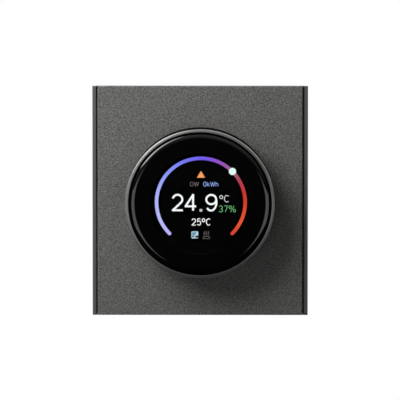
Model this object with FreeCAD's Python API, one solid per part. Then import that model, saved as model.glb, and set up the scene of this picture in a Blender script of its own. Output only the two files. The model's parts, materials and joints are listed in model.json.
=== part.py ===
"""Wall thermostat with a rotary ring knob round a fixed round display.

Millimetres. +X right, +Z up, +Y into the wall, so the front faces -Y. The origin is the centre of
the wall screws, on the wall plane. Each piece is written to parts/NODE.step at its real place.
"""
import FreeCAD
import Part

import math
import os

Vec = FreeCAD.Vector

# Face plate, seen from the front
face_width = 86.0
face_height = 92.0
face_side_draft = 0.9
rail_width = 1.4
groove_width = 0.65
edge_chamfer = 0.3

# Face plate, from its front back to the wall
panel_thickness = 1.4
tape_thickness = 0.2
shelf_thickness = 1.6
collar_depth = 0.9
clip_play = 0.1
clip_thickness = 0.6
stem_tail = 0.5
press_travel = 0.5
press_spare = 0.3
control_board_thickness = 1.2
screw_head_room = 0.3
flange_thickness = 1.2
plate_thickness = 1.0

# Face frame
frame_side_wall = 1.8
frame_rim_gap = 0.3
tape_inset = 2.0
opening_overlap = 2.4
vent_width = 1.4
vent_length = 4.0
vent_pitch = 4.2
vent_count = 9
pry_notch_width = 12.0
pry_notch_depth = 1.2

# Knob, from the panel's front outwards
knob_rest_gap = 0.3
rotor_disc_thickness = 1.1
glide_gap = 0.3
carrier_floor = 1.2
board_post_height = 2.0
display_board_thickness = 1.0
foam_thickness = 1.0
backlight_thickness = 1.3
lcd_thickness = 0.9
adhesive_thickness = 0.3
lens_thickness = 1.8
lens_recess = 0.3

# Knob, across
knob_radius = 30.0
knob_side_taper = 0.6
knob_lip = 1.4
knob_lip_chamfer = 0.35
knob_bore_chamfer = 0.2
lens_play = 0.35
lens_edge_width = 2.4
lens_edge_drop = 0.9
carrier_flange_thickness = 1.1
carrier_flange_overhang = 1.65
shoulder_play = 0.2
turning_play = 0.08
carrier_wall = 4.0
rotor_rim = 0.9
rotor_fit = 0.05
glide_washer_thickness = 0.2
glide_washer_width = 3.0
adhesive_edge = 0.35

# Display stack, across
backlight_play = 0.6
backlight_border = 1.0
lcd_border = 1.0
display_board_play = 0.7
display_post_radius = 2.0
display_post_inset = 4.3
display_post_angles = (30.0, 150.0, 310.0)
foam_inset = 9.0
tail_width = 11.0
tail_play = 1.0
tail_wall_gap = 1.2
tail_board_lap = 4.0

# Stem, collar and retaining clip
stem_radius = 12.0
stem_wall = 2.0
stem_groove = 0.8
collar_wall = 1.7
collar_rise = 0.4
slide_play = 0.08
key_width = 3.0
key_height = 0.9
key_root = 0.5
key_play = 0.12
clip_width = 2.4
clip_mouth = 16.0
web_width = 5.0
web_thickness = 1.2
nib_radius = 1.4
nib_height = 0.6
nib_play = 0.05

# Return springs
spring_count = 3
spring_first_angle = 60.0
spring_radius = 1.6
spring_wire = 0.35
spring_turns = 4
spring_pocket = 0.4
spring_play = 0.3
spring_collar_gap = 0.5

# Ring gear and encoder
gear_module = 0.5
pinion_teeth = 12
encoder_stem_distance = 6.0
pressure_angle = 20.0
backlash = 0.12
gear_rim = 1.1
encoder_width = 7.6
encoder_length = 10.0
encoder_play = 0.3
shaft_radius = 1.25
shaft_flat = 0.35
shaft_hole_play = 0.75
pinion_gap = 0.5

# Switch under the stem
switch_size = 6.0
switch_height = 2.9
plunger_radius = 1.6
plunger_rise = 0.4
plunger_seat = 0.6
plunger_play = 0.08
plunger_floor_gap = 0.1

# Control board
board_bush_gap = 0.57
board_end_gap = 7.5
board_screw_inset = 4.0
boss_radius = 2.5
relief_radius = 5.0
part_headroom = 0.3

# Parts on the control board: width, height and thickness, then the gaps to the board's edges
wifi_size = (15.0, 22.0, 0.8)
wifi_gaps = (1.0, 7.0)
shield_size = (13.0, 14.0, 1.5)
shield_wall = 0.3
shield_lift = 1.0
processor_size = (8.0, 8.0, 1.0)
processor_gaps = (6.0, 17.0)
memory_size = (5.0, 5.0, 0.9)
memory_gap = 2.5
buzzer_size = (8.5, 8.5, 2.4)
buzzer_gaps = (7.0, 16.5)
buzzer_hole = (1.0, 1.0)
cell_radius = 5.0
cell_thickness = 1.6
cell_lift = 0.4
cell_ring = 1.1
cell_play = 0.1
cell_gaps = (6.0, 12.0)
cell_holder_height = 1.8
sensor_size = (3.0, 3.0, 1.0)
sensor_gap = 1.0
sensor_place = 9.0
sensor_port = (0.6, 0.4)

# Wall plate
plate_play = 0.8
plate_corner = 5.0
wall_screw_spacing = 60.0
wall_slot_width = 4.2
wall_slot_length = 7.0
snap_inset = 5.0
snap_post_radius = 2.35
snap_play = 0.08
snap_split = 0.8
snap_bush_wall = 1.0
snap_bush_height = 3.0
snap_bush_shank = 0.45
snap_tip_gap = 0.6

# Rear housing; rear_fit keeps what is in it in step with its width
housing_width = 50.0
housing_depth = 27.0
rear_fit = housing_width / 50.0
housing_corner = 10.0 * rear_fit
housing_wall = 1.8
housing_play = 0.3
flange_edge = 0.5
flange_screw_inset = 3.5
lid_ledge = 0.7
lid_play = 0.1
step_gap = 1.2
power_board_gap = 4.0
power_board_thickness = 1.6
power_board_play = 0.7
power_post_radius = 2.6 * rear_fit
power_post_wall_gap = 0.3
power_post_top_x = 11.5 * rear_fit
power_post_low_gap = 1.1
rear_vent_width = 1.4
rear_vent_length = 12.0
rear_vent_pitch = 4.0 * rear_fit
rear_vent_count = 7
rear_vent_edge = 5.4

# Parts on the power board: width, height and depth, and the gaps that place them
relay_size = (18.0 * rear_fit, 16.0 * rear_fit, 15.4)
relay_wall_gap = 3.2 * rear_fit
relay_post_gap = 2.2 * rear_fit
core_size = (13.0 * rear_fit, 8.0 * rear_fit, 10.0)
core_leg = 2.5
core_window = 2.0
core_lift = 1.5
core_relay_gap = 3.0 * rear_fit
core_post_gap = 4.5 * rear_fit
coil_reach = 2.4 * rear_fit
coil_play = 0.1
input_capacitor_size = (4.0 * rear_fit, 12.5)
input_capacitor_wall_gap = 0.6 * rear_fit
input_capacitor_drop = 3.0 * rear_fit
output_capacitor_size = (2.9 * rear_fit, 8.0)
output_capacitor_wall_gap = 1.1 * rear_fit
capacitor_gap = 1.2 * rear_fit
film_size = (12.0 * rear_fit, 4.8 * rear_fit, 10.0)
film_wall_gap = 5.2 * rear_fit
film_relay_gap = 0.7 * rear_fit
fuse_radius = 1.6 * rear_fit
fuse_length = 10.0 * rear_fit
fuse_film_gap = 2.0 * rear_fit
fuse_lift = 2.0
lead_width = 0.5
lead_inset = 0.6
varistor_radius = 3.6 * rear_fit
varistor_thickness = 2.4 * rear_fit
varistor_fuse_gap = 1.9 * rear_fit
varistor_lift = 5.0
varistor_lead_pitch = 4.1 * rear_fit

# Terminals
terminal_count = 6
terminal_pitch = 5.0 * rear_fit
terminal_height = 12.3
terminal_depth = 12.0 * rear_fit
terminal_entry_gap = 2.0 * rear_fit
terminal_recess = 0.1
terminal_play = 0.2
cage_width = 3.6 * rear_fit
cage_height = 4.4
cage_length = 7.0 * rear_fit
cage_wall = 0.6
cage_play = 0.15
cage_base = 2.6
terminal_screw_radius = 1.25 * rear_fit
terminal_head_radius = 1.8 * rear_fit
terminal_head_height = 1.6
terminal_head_depth = 0.6
terminal_hole_play = 0.2
terminal_slot = 0.8
thread_play = 0.05
wire_window_height = 6.0

# Header between the two boards
header_columns = 5
header_pitch = 2.0
header_level = 13.0 * rear_fit
header_base_reach = 0.6
header_pin = 0.5
header_pin_tip = 1.2
socket_hole_play = 0.1
header_slot_play = 0.4

# Screws; a head is its radius and height
board_screw_radius = 0.8
board_screw_head = (1.6, 0.7)
board_screw_grip = 2.0
power_screw_radius = 0.9
power_screw_head = (1.8, 0.9)
power_screw_grip = 2.9
rotor_screw_radius = 0.5
rotor_screw_head = 0.8
rotor_screw_grip = 2.2
rotor_screw_slot = 0.2
rotor_screw_count = 4
flange_screw_radius = 1.2
flange_screw_head = 2.2
flange_screw_rest = 0.1
screw_slot = 0.4
slot_depth_share = 0.5

# Ribbon, its sockets and the chips beside it
ribbon_width = 5.0
ribbon_thickness = 0.2
ribbon_bend = 45.0
ribbon_lead = 0.4
ribbon_switch_gap = 3.8
ribbon_socket_size = (7.0, 2.4, 1.0)
driver_size = (7.0, 7.0, 0.9)
driver_place = (-6.0, -10.0)
regulator_size = (3.0, 3.0, 1.1)
regulator_place = (9.0, -9.0)

# Stations along Y, from the wall plane outwards
plate_front = -plate_thickness
flange_front = plate_front - flange_thickness
control_back = flange_front - board_screw_head[1] - screw_head_room
control_front = control_back - control_board_thickness
stem_end = control_front - press_spare - press_travel
clip_back = stem_end - stem_tail
clip_front = clip_back - clip_thickness
collar_back = clip_front - clip_play
shelf_back = collar_back - collar_depth
shelf_front = shelf_back - shelf_thickness
panel_back = shelf_front - tape_thickness
panel_front = panel_back - panel_thickness
knob_base = panel_front - knob_rest_gap - press_travel
rotor_front = knob_base - rotor_disc_thickness
floor_back = rotor_front - glide_gap
floor_front = floor_back - carrier_floor
display_board_back = floor_front - board_post_height
display_board_front = display_board_back - display_board_thickness
backlight_back = display_board_front - foam_thickness
lcd_back = backlight_back - backlight_thickness
lcd_front = lcd_back - lcd_thickness
lens_back = lcd_front - adhesive_thickness
lens_front = lens_back - lens_thickness
knob_front = lens_front - lens_recess
frame_rim = -frame_rim_gap
collar_front = shelf_front - collar_rise
part_top = shelf_back + part_headroom
power_board_front = plate_front + power_board_gap
power_board_back = power_board_front + power_board_thickness
terminal_back = power_board_back + terminal_height
step_depth = terminal_back + terminal_recess
cage_middle = power_board_back + cage_base + cage_height / 2
header_base_end = flange_front + header_base_reach

# Radii of the knob, from the rim inwards
knob_bore = knob_radius - knob_lip
lens_radius = knob_bore - lens_play
carrier_radius = lens_radius - carrier_flange_overhang
bearing_bore = carrier_radius + turning_play
carrier_bore = carrier_radius - carrier_wall
knob_base_radius = knob_radius - knob_side_taper
rotor_pocket = knob_base_radius - rotor_rim
rotor_radius = rotor_pocket - rotor_fit
rotor_screw_orbit = (bearing_bore + rotor_pocket) / 2
panel_opening = knob_base_radius - opening_overlap
backlight_radius = carrier_bore - backlight_play
lcd_radius = backlight_radius - backlight_border
lcd_view_radius = lcd_radius - lcd_border
display_board_radius = carrier_bore - display_board_play
display_post_orbit = carrier_bore - display_post_inset
tail_level = -(carrier_bore - tail_wall_gap)

# Radii of the stem and what stands round it
stem_bore = stem_radius - stem_wall
collar_bore = stem_radius + slide_play
collar_radius = collar_bore + collar_wall
spring_orbit = collar_radius + spring_collar_gap + spring_play + spring_radius
ring_teeth = pinion_teeth + round(2 * (stem_radius + encoder_stem_distance) / gear_module)
ring_pitch_radius = ring_teeth * gear_module / 2
pinion_pitch_radius = pinion_teeth * gear_module / 2
gear_distance = ring_pitch_radius - pinion_pitch_radius
ring_root_radius = ring_pitch_radius + 1.15 * gear_module
ring_tip_radius = ring_pitch_radius - 0.7 * gear_module
pinion_root_radius = pinion_pitch_radius - 1.15 * gear_module
pinion_tip_radius = pinion_pitch_radius + 0.85 * gear_module
gear_rim_radius = ring_root_radius + gear_rim
gear_back = shelf_front - press_travel - encoder_play
pinion_front = floor_back + press_travel + encoder_play
pinion_back = shelf_front - pinion_gap
ribbon_level = switch_size / 2 + ribbon_switch_gap

# Outlines seen from the front
panel_width = face_width - 2 * (rail_width + groove_width)
snap_bore = snap_post_radius + snap_play
snap_bush_radius = snap_bore + snap_bush_wall
plate_width = face_width - 2 * (face_side_draft + frame_side_wall + plate_play)
plate_height = face_height - 2 * (face_side_draft + frame_side_wall + plate_play)
board_width = plate_width - 2 * (snap_inset + snap_bush_radius + board_bush_gap)
board_height = plate_height - 2 * board_end_gap
housing_half = housing_width / 2
inner_half = housing_half - housing_wall
flange_half = housing_half + flange_edge
terminal_half = terminal_count * terminal_pitch / 2
terminal_low = -inner_half + terminal_entry_gap
terminal_top = terminal_low + terminal_depth
step_level = terminal_top + step_gap
screw_level = terminal_low + cage_play + cage_length / 2
wall_reach = wall_screw_spacing / 2


def cylinder(radius, y0, y1, x=0.0, z=0.0):
    """A round bar along Y."""
    return Part.makeCylinder(radius, y1 - y0, Vec(x, y0, z), Vec(0, 1, 0))


def tube(outer, inner, y0, y1):
    """A round tube along Y, on the axis."""
    return cylinder(outer, y0, y1).cut(cylinder(inner, y0, y1))


def block(x0, x1, y0, y1, z0, z1):
    """A box between two corners."""
    return Part.makeBox(x1 - x0, y1 - y0, z1 - z0, Vec(x0, y0, z0))


def centred(width, height, y0, y1, x=0.0, z=0.0):
    """A box along Y, centred on a point of the XZ plane."""
    return block(x - width / 2, x + width / 2, y0, y1, z - height / 2, z + height / 2)


def outline(points, y):
    """A closed polygon at y from (x, z) points."""
    corners = [Vec(x, y, z) for x, z in points]
    return Part.makePolygon(corners + corners[:1])


def prism(points, y0, y1):
    """A polygon of (x, z) points drawn out along Y."""
    return Part.Face(outline(points, y0)).extrude(Vec(0, y1 - y0, 0))


def rectangle(width, height):
    """The corners of a rectangle round the axis."""
    w = width / 2
    h = height / 2
    return [(-w, -h), (w, -h), (w, h), (-w, h)]


def housing_outline(inset):
    """The housing's eight-cornered outline, drawn in by an even wall."""
    w = housing_half - inset
    c = w - housing_corner + inset * (2 - math.sqrt(2))
    return [(-c, -w), (c, -w), (w, -c), (w, c), (c, w), (-c, w), (-w, c), (-w, -c)]


def turned(points):
    """A solid of revolution about Y from (radius, y) points."""
    corners = [Vec(r, y, 0) for r, y in points]
    face = Part.Face(Part.makePolygon(corners + corners[:1]))
    return face.revolve(Vec(0, 0, 0), Vec(0, 1, 0), 360)


def place(radius, degrees):
    """The (x, z) point at an angle from +X towards +Z."""
    a = math.radians(degrees)
    return radius * math.cos(a), radius * math.sin(a)


def corners_of(x, z):
    """The four mirrored places of one corner."""
    return [(x, z), (-x, z), (-x, -z), (x, -z)]


def pan_screw(radius, head, length, y_seat, direction, x, z):
    """A round-head screw seated at y_seat; direction is +1 where its shank runs towards +Y."""
    head_radius, head_height = head
    body = Part.makeCylinder(radius, length, Vec(x, y_seat, z), Vec(0, direction, 0))
    cap = Part.makeCylinder(head_radius, head_height, Vec(x, y_seat, z), Vec(0, -direction, 0))
    top = y_seat - direction * head_height
    slot_end = top + direction * head_height * slot_depth_share
    groove = centred(2 * head_radius, screw_slot, min(top, slot_end), max(top, slot_end), x, z)
    return body.fuse(cap).cut(groove)


def involute(angle):
    """The involute function of an angle in radians."""
    return math.tan(angle) - angle


def gear_outline(teeth, root, tip, thickness, y, x):
    """A closed wire of involute teeth round (x, 0) with one tooth centred on +X."""
    pitch = teeth * gear_module / 2
    alpha = math.radians(pressure_angle)
    base = pitch * math.cos(alpha)

    def half_angle(r):
        at = math.acos(base / max(r, base))
        return thickness / (2 * pitch) + involute(alpha) - involute(at)

    def point(r, angle):
        return Vec(x + r * math.cos(angle), y, r * math.sin(angle))

    step = 2 * math.pi / teeth
    flank = [root, (root + tip) / 2, tip]
    edges = []
    for n in range(teeth):
        mid = n * step
        rise = [point(r, mid - half_angle(r)) for r in flank]
        fall = [point(r, mid + half_angle(r)) for r in reversed(flank)]
        after = point(root, mid + step - half_angle(root))
        edges.append(Part.Arc(*rise).toShape())
        edges.append(Part.Arc(rise[2], point(tip, mid), fall[0]).toShape())
        edges.append(Part.Arc(*fall).toShape())
        edges.append(Part.Arc(fall[2], point(root, mid + step / 2), after).toShape())
    return Part.Wire(edges)


def front_panel():
    """The flat metal panel between the side rails, with its round opening."""
    w = panel_width
    h = face_height
    c = edge_chamfer
    front = outline(rectangle(w - 2 * c, h - 2 * c), panel_front)
    full = outline(rectangle(w, h), panel_front + c)
    bevel = Part.makeLoft([front, full], True, True)
    sheet = bevel.fuse(centred(w, h, panel_front + c, panel_back))
    mouth = Part.makeCone(panel_opening + c, panel_opening, c, Vec(0, panel_front, 0), Vec(0, 1, 0))
    return sheet.cut(mouth).cut(cylinder(panel_opening, panel_front, panel_back)).removeSplitter()


def panel_tape():
    """The double-sided tape that holds the panel on the frame."""
    sheet = centred(panel_width - 2 * tape_inset, face_height - 2 * tape_inset, panel_back, shelf_front)
    return sheet.cut(cylinder(panel_opening + tape_inset, panel_back, shelf_front))


def frame_size(y):
    """The frame's outer width and height at y; its sides draw in towards the wall."""
    widest = panel_front + edge_chamfer
    drawn_in = 2 * face_side_draft * (y - widest) / (frame_rim - widest)
    return face_width - drawn_in, face_height - drawn_in


def snap_places():
    """Where the four snap posts stand."""
    return corners_of(plate_width / 2 - snap_inset, plate_height / 2 - snap_inset)


def board_screw_places():
    """Where the control board is screwed to the frame."""
    return corners_of(board_width / 2 - board_screw_inset, board_height / 2 - board_screw_inset)


def frame_shell():
    """The frame's drafted outer shell, open at the back, with the side rails standing at the front."""
    c = edge_chamfer
    sections = [
        outline(rectangle(face_width - 2 * c, face_height - 2 * c), panel_front),
        outline(rectangle(face_width, face_height), panel_front + c),
        outline(rectangle(*frame_size(frame_rim)), frame_rim),
    ]
    shell = Part.makeLoft(sections, True, True)
    between_rails = centred(face_width - 2 * rail_width, face_height, panel_front, shelf_front)
    inside = []
    for y in (shelf_back, frame_rim):
        w, h = frame_size(y)
        inside.append(outline(rectangle(w - 2 * frame_side_wall, h - 2 * frame_side_wall), y))
    return shell.cut(between_rails).cut(Part.makeLoft(inside, True, True))


def snap_post(x, z):
    """A split snap post that plugs into the wall plate's bush."""
    tip = -snap_tip_gap
    post = cylinder(snap_post_radius, shelf_back - shelf_thickness / 2, tip, x, z)
    split = centred(snap_split, 2 * snap_post_radius, plate_front - snap_bush_height, tip, x, z)
    return post.cut(split)


def key_slots():
    """The two keyways in the collar, which keep the display upright."""
    width = key_width + 2 * key_play
    height = key_height + 2 * key_play
    middle = collar_bore + key_height / 2
    return [centred(width, height, collar_front, collar_back, 0, side * middle) for side in (-1, 1)]


def face_frame():
    """The moulded frame: shell, guide collar, bosses, snap posts, spring pockets and vents."""
    added = [cylinder(collar_radius, collar_front, collar_back)]
    added += [cylinder(boss_radius, shelf_front, control_front, x, z) for x, z in board_screw_places()]
    added += [snap_post(x, z) for x, z in snap_places()]
    frame = frame_shell().fuse(added)
    removed = [cylinder(collar_bore, collar_front, collar_back)] + key_slots()
    removed.append(cylinder(shaft_radius + shaft_hole_play, shelf_front, shelf_back, gear_distance))
    for x, z in spring_places():
        removed.append(cylinder(spring_radius + spring_play, shelf_front, shelf_front + spring_pocket, x, z))
    for x, z in board_screw_places():
        removed.append(cylinder(board_screw_radius, shelf_back - shelf_thickness / 2, control_front, x, z))
    middle = (shelf_back + frame_rim) / 2
    for n in range(vent_count):
        x = (n - (vent_count - 1) / 2) * vent_pitch
        removed.append(centred(vent_width, 2 * face_height, middle - vent_length / 2,
                               middle + vent_length / 2, x))
    removed.append(centred(pry_notch_width, 2 * frame_side_wall, frame_rim - pry_notch_depth, frame_rim,
                           0, -frame_size(frame_rim)[1] / 2))
    return frame.cut(removed).removeSplitter()


def rotor_screw_places():
    """Where the ring gear is screwed to the ring."""
    return [place(rotor_screw_orbit, 45 + 360 * n / rotor_screw_count) for n in range(rotor_screw_count)]


def knob_ring():
    """The turned aluminium ring that the hand turns."""
    c = knob_lip_chamfer
    b = knob_bore_chamfer
    shoulder = lcd_front + carrier_flange_thickness + shoulder_play
    ring = turned([
        (knob_radius - c, knob_front),
        (knob_radius, knob_front + c),
        (knob_base_radius, knob_base),
        (rotor_pocket, knob_base),
        (rotor_pocket, rotor_front),
        (bearing_bore, rotor_front),
        (bearing_bore, shoulder),
        (knob_bore, shoulder),
        (knob_bore, knob_front + b),
        (knob_bore + b, knob_front),
    ])
    return ring.cut([cylinder(rotor_screw_radius, rotor_front - rotor_screw_grip, rotor_front, x, z)
                     for x, z in rotor_screw_places()])


def rotor_screw_body(x, z):
    """One flat-head screw of the ring gear without its slot, its head to the wall."""
    seat = knob_base - rotor_screw_head + rotor_screw_radius
    cone = Part.makeCone(rotor_screw_radius, rotor_screw_head, knob_base - seat, Vec(x, seat, z), Vec(0, 1, 0))
    return cone.fuse(cylinder(rotor_screw_radius, rotor_front - rotor_screw_grip, seat, x, z))


def rotor_screws():
    """The flat-head screws through the ring gear."""
    depth = (rotor_screw_head - rotor_screw_radius) * slot_depth_share
    found = []
    for x, z in rotor_screw_places():
        groove = centred(2 * rotor_screw_head, rotor_screw_slot, knob_base - depth, knob_base, x, z)
        found.append(rotor_screw_body(x, z).cut(groove))
    return Part.makeCompound(found)


def encoder_ring_gear():
    """The disc screwed to the ring's back, with the internal gear that drives the encoder."""
    disc = cylinder(rotor_radius, rotor_front, knob_base)
    rim = cylinder(gear_rim_radius, rotor_front, gear_back)
    width = math.pi * gear_module / 2 + backlash
    space = gear_outline(ring_teeth, ring_tip_radius, ring_root_radius, width, rotor_front, 0)
    hollow = Part.Face(space).extrude(Vec(0, gear_back - rotor_front, 0))
    screws = [rotor_screw_body(x, z) for x, z in rotor_screw_places()]
    return disc.fuse(rim).cut([hollow] + screws).removeSplitter()


def glide_washer():
    """The slippery washer between the ring gear and the carrier."""
    outer = carrier_radius - turning_play
    return tube(outer, outer - glide_washer_width, floor_back, floor_back + glide_washer_thickness)


def cover_lens():
    """The round cover glass, flat in the middle, its edge curved down."""
    flat = lens_radius - lens_edge_width
    sweep = (lens_edge_width ** 2 + lens_edge_drop ** 2) / (2 * lens_edge_drop)
    half_turn = math.asin(lens_edge_width / sweep) / 2
    middle = Vec(flat + sweep * math.sin(half_turn), lens_front + sweep * (1 - math.cos(half_turn)), 0)
    curve_end = Vec(lens_radius, lens_front + lens_edge_drop, 0)
    edge = Part.Arc(Vec(flat, lens_front, 0), middle, curve_end).toShape()
    rest = Part.makePolygon([curve_end, Vec(lens_radius, lens_back, 0), Vec(0, lens_back, 0),
                             Vec(0, lens_front, 0), Vec(flat, lens_front, 0)])
    return Part.Face(Part.Wire([edge] + rest.Edges)).revolve(Vec(0, 0, 0), Vec(0, 1, 0), 360)


def lens_adhesive():
    """The black adhesive ring that joins the glass to the carrier and masks the display's border."""
    return tube(lens_radius - adhesive_edge, lcd_view_radius, lens_back, lcd_front)


def lcd_panel():
    """The round liquid-crystal cell."""
    return cylinder(lcd_radius, lcd_front, lcd_back)


def backlight_unit():
    """The metal tray with the light guide behind the cell."""
    return cylinder(backlight_radius, lcd_back, backlight_back)


def display_foam():
    """The foam disc that steadies the backlight on its board."""
    return cylinder(display_board_radius - foam_inset, backlight_back, display_board_front)


def display_post_places():
    """Where the display board is screwed to the carrier."""
    return [place(display_post_orbit, angle) for angle in display_post_angles]


def display_board():
    """The round board behind the display, notched for the flex tail."""
    board = cylinder(display_board_radius, display_board_front, display_board_back)
    removed = [cylinder(board_screw_radius, display_board_front, display_board_back, x, z)
               for x, z in display_post_places()]
    half = tail_width / 2 + tail_play
    removed.append(block(-half, half, display_board_front, display_board_back, -display_board_radius,
                         tail_level + ribbon_thickness / 2))
    return board.cut(removed)


def display_chips():
    """The display driver, a regulator and the ribbon socket on the display board's back."""
    parts = [(driver_size, driver_place), (regulator_size, regulator_place),
             (ribbon_socket_size, (0, ribbon_level))]
    return Part.makeCompound([centred(w, h, display_board_back, display_board_back + t, x, z)
                              for (w, h, t), (x, z) in parts])


def display_board_screws():
    """The screws that hold the display board on the carrier's posts."""
    length = display_board_thickness + board_post_height
    return Part.makeCompound([pan_screw(board_screw_radius, board_screw_head, length, display_board_front,
                                        1, x, z) for x, z in display_post_places()])


def lcd_flex_tail():
    """The display's own flex tail, folded from its back edge to the board."""
    t = ribbon_thickness
    half = tail_width / 2
    end = tail_level + tail_board_lap
    down = block(-half, half, backlight_back, display_board_back + t, tail_level - t / 2, tail_level + t / 2)
    top = block(-half, half, backlight_back, backlight_back + t, tail_level, end)
    foot = block(-half, half, display_board_back, display_board_back + t, tail_level, end)
    return down.fuse([top, foot]).removeSplitter()


def head_carrier():
    """The fixed cup that holds the display and carries the turning ring, with its sliding stem."""
    groove = stem_radius - stem_groove
    flange_back = lcd_front + carrier_flange_thickness
    body = turned([
        (carrier_bore, lcd_front),
        (lens_radius, lcd_front),
        (lens_radius, flange_back),
        (carrier_radius, flange_back),
        (carrier_radius, floor_back),
        (stem_radius, floor_back),
        (stem_radius, clip_front),
        (groove, clip_front),
        (groove, clip_back),
        (stem_radius, clip_back),
        (stem_radius, stem_end),
        (stem_bore, stem_end),
        (stem_bore, floor_front),
        (carrier_bore, floor_front),
    ])
    web_back = control_front - switch_height - press_travel - plunger_rise - nib_play - nib_height
    added = [centred(2 * stem_bore + stem_wall, web_width, web_back - web_thickness, web_back),
             cylinder(nib_radius, web_back, web_back + nib_height)]
    for side in (-1, 1):
        middle = side * (stem_radius + (key_height - key_root) / 2)
        added.append(centred(key_width, key_height + key_root, collar_front - press_travel,
                             collar_back - clip_play, 0, middle))
    added += [cylinder(display_post_radius, display_board_back, floor_back - carrier_floor / 2, x, z)
              for x, z in display_post_places()]
    pilots = [cylinder(board_screw_radius, display_board_back, floor_front, x, z)
              for x, z in display_post_places()]
    return body.fuse(added).cut(pilots).removeSplitter()


def stem_clip():
    """The spring-steel clip in the stem's groove, which keeps the knob in the frame."""
    inner = stem_radius - stem_groove + clip_play
    ring = tube(inner + clip_width, inner, clip_front, clip_back)
    return ring.cut(block(-clip_mouth / 2, clip_mouth / 2, clip_front, clip_back, -inner - clip_width, 0))


def spring_places():
    """Where the return springs stand, clear of the encoder."""
    return [place(spring_orbit, spring_first_angle + 360 * n / spring_count) for n in range(spring_count)]


def quarter_turn(radius, y0, rise, x, z, quarter):
    """One quarter of a climbing circle, as an arc through three points of the helix."""
    points = []
    for part in (0, 0.5, 1):
        a = math.pi / 2 * (quarter + part)
        points.append(Vec(x + radius * math.cos(a), y0 + rise * part, z + radius * math.sin(a)))
    return Part.Arc(*points).toShape()


def return_springs():
    """The coil springs that push the knob back out."""
    y0 = floor_back + spring_wire / 2
    y1 = shelf_front + spring_pocket - spring_wire / 2
    quarters = 4 * spring_turns
    rise = (y1 - y0) / quarters
    mean = spring_radius - spring_wire / 2
    found = []
    for x, z in spring_places():
        path = Part.Wire([quarter_turn(mean, y0 + n * rise, rise, x, z, n) for n in range(quarters)])
        circle = Part.makeCircle(spring_wire / 2, Vec(x + mean, y0, z), Vec(0, 0, 1))
        found.append(path.makePipeShell([Part.Wire([circle])], True, False))
    return Part.makeCompound(found)


def flat_shaft():
    """The flatted end of the encoder's shaft, where the pinion grips it."""
    bar = cylinder(shaft_radius, pinion_front, pinion_back, gear_distance)
    side = gear_distance + shaft_radius - shaft_flat
    return bar.cut(block(side, side + shaft_radius, pinion_front, pinion_back, -shaft_radius, shaft_radius))


def encoder_pinion():
    """The small gear pushed onto the encoder's shaft."""
    width = math.pi * gear_module / 2 - backlash
    teeth = gear_outline(pinion_teeth, pinion_root_radius, pinion_tip_radius, width, pinion_front,
                         gear_distance)
    gear = Part.Face(teeth).extrude(Vec(0, pinion_back - pinion_front, 0))
    return gear.cut(flat_shaft())


def encoder_shaft():
    """The encoder's shaft, flat where the pinion grips it and round in its bore."""
    return flat_shaft().fuse(cylinder(shaft_radius, pinion_back, control_front - encoder_play, gear_distance))


def encoder_body():
    """The encoder on the control board, with the bore that its shaft turns in."""
    body = centred(encoder_width, encoder_length, part_top, control_front, gear_distance)
    bore_end = control_front - encoder_play / 2
    return body.cut(cylinder(shaft_radius + turning_play, part_top, bore_end, gear_distance))


def press_switch():
    """The switch body at the middle of the control board."""
    top = control_front - switch_height
    body = centred(switch_size, switch_size, top, control_front)
    socket = plunger_seat + press_travel + plunger_floor_gap
    return body.cut(cylinder(plunger_radius + plunger_play, top, top + socket))


def press_switch_plunger():
    """The switch's moving plunger."""
    top = control_front - switch_height
    return cylinder(plunger_radius, top - press_travel - plunger_rise, top + plunger_seat)


def wall_screw_places():
    """Where the wall screws go, level and upright."""
    return [(wall_reach, 0), (0, wall_reach), (-wall_reach, 0), (0, -wall_reach)]


def relief(x, z):
    """A notch of the control board over a wall screw, open to the board's edge."""
    width = 2 * relief_radius if x == 0 else wall_reach
    height = 2 * relief_radius if z == 0 else wall_reach
    return [cylinder(relief_radius, control_front, control_back, x, z),
            centred(width, height, control_front, control_back, 1.5 * x, 1.5 * z)]


def control_board():
    """The main board, notched over the wall screws."""
    removed = []
    for x, z in wall_screw_places():
        removed += relief(x, z)
    removed += [cylinder(board_screw_radius, control_front, control_back, x, z)
                for x, z in board_screw_places()]
    removed += [centred(header_pin, header_pin, control_front, control_back, x, z) for x, z in header_places()]
    return centred(board_width, board_height, control_front, control_back).cut(removed)


def control_board_screws():
    """The screws that hold the control board in the frame."""
    length = control_board_thickness + board_screw_grip
    return Part.makeCompound([pan_screw(board_screw_radius, board_screw_head, length, control_back, -1, x, z)
                              for x, z in board_screw_places()])


def board_place(size, gaps, side, end):
    """The middle of a part that lies at the given gaps inside a corner of the control board."""
    return (side * (board_width / 2 - gaps[0] - size[0] / 2),
            end * (board_height / 2 - gaps[1] - size[1] / 2))


def on_board(size, x, z):
    """A block of (width, height, thickness) standing on the control board's front."""
    return centred(size[0], size[1], control_front - size[2], control_front, x, z)


def wifi_module():
    """The radio module's small board."""
    return on_board(wifi_size, *board_place(wifi_size, wifi_gaps, -1, 1))


def wifi_shield():
    """The pressed shield can on the radio module."""
    x, z = board_place(wifi_size, wifi_gaps, -1, 1)
    width, height, rise = shield_size
    z -= (wifi_size[1] - height) / 2 - shield_lift
    base = control_front - wifi_size[2]
    wall = shield_wall
    can = centred(width, height, base - rise, base, x, z)
    return can.cut(centred(width - 2 * wall, height - 2 * wall, base - rise + wall, base, x, z))


def processor():
    """The main processor and, above it, its memory."""
    x, z = board_place(processor_size, processor_gaps, 1, 1)
    above = z + (processor_size[1] + memory_size[1]) / 2 + memory_gap
    return Part.makeCompound([on_board(processor_size, x, z), on_board(memory_size, x, above)])


def buzzer():
    """The small square buzzer with its sound hole."""
    x, z = board_place(buzzer_size, buzzer_gaps, -1, -1)
    radius, depth = buzzer_hole
    top = control_front - buzzer_size[2]
    return on_board(buzzer_size, x, z).cut(cylinder(radius, top, top + depth, x, z))


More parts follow.
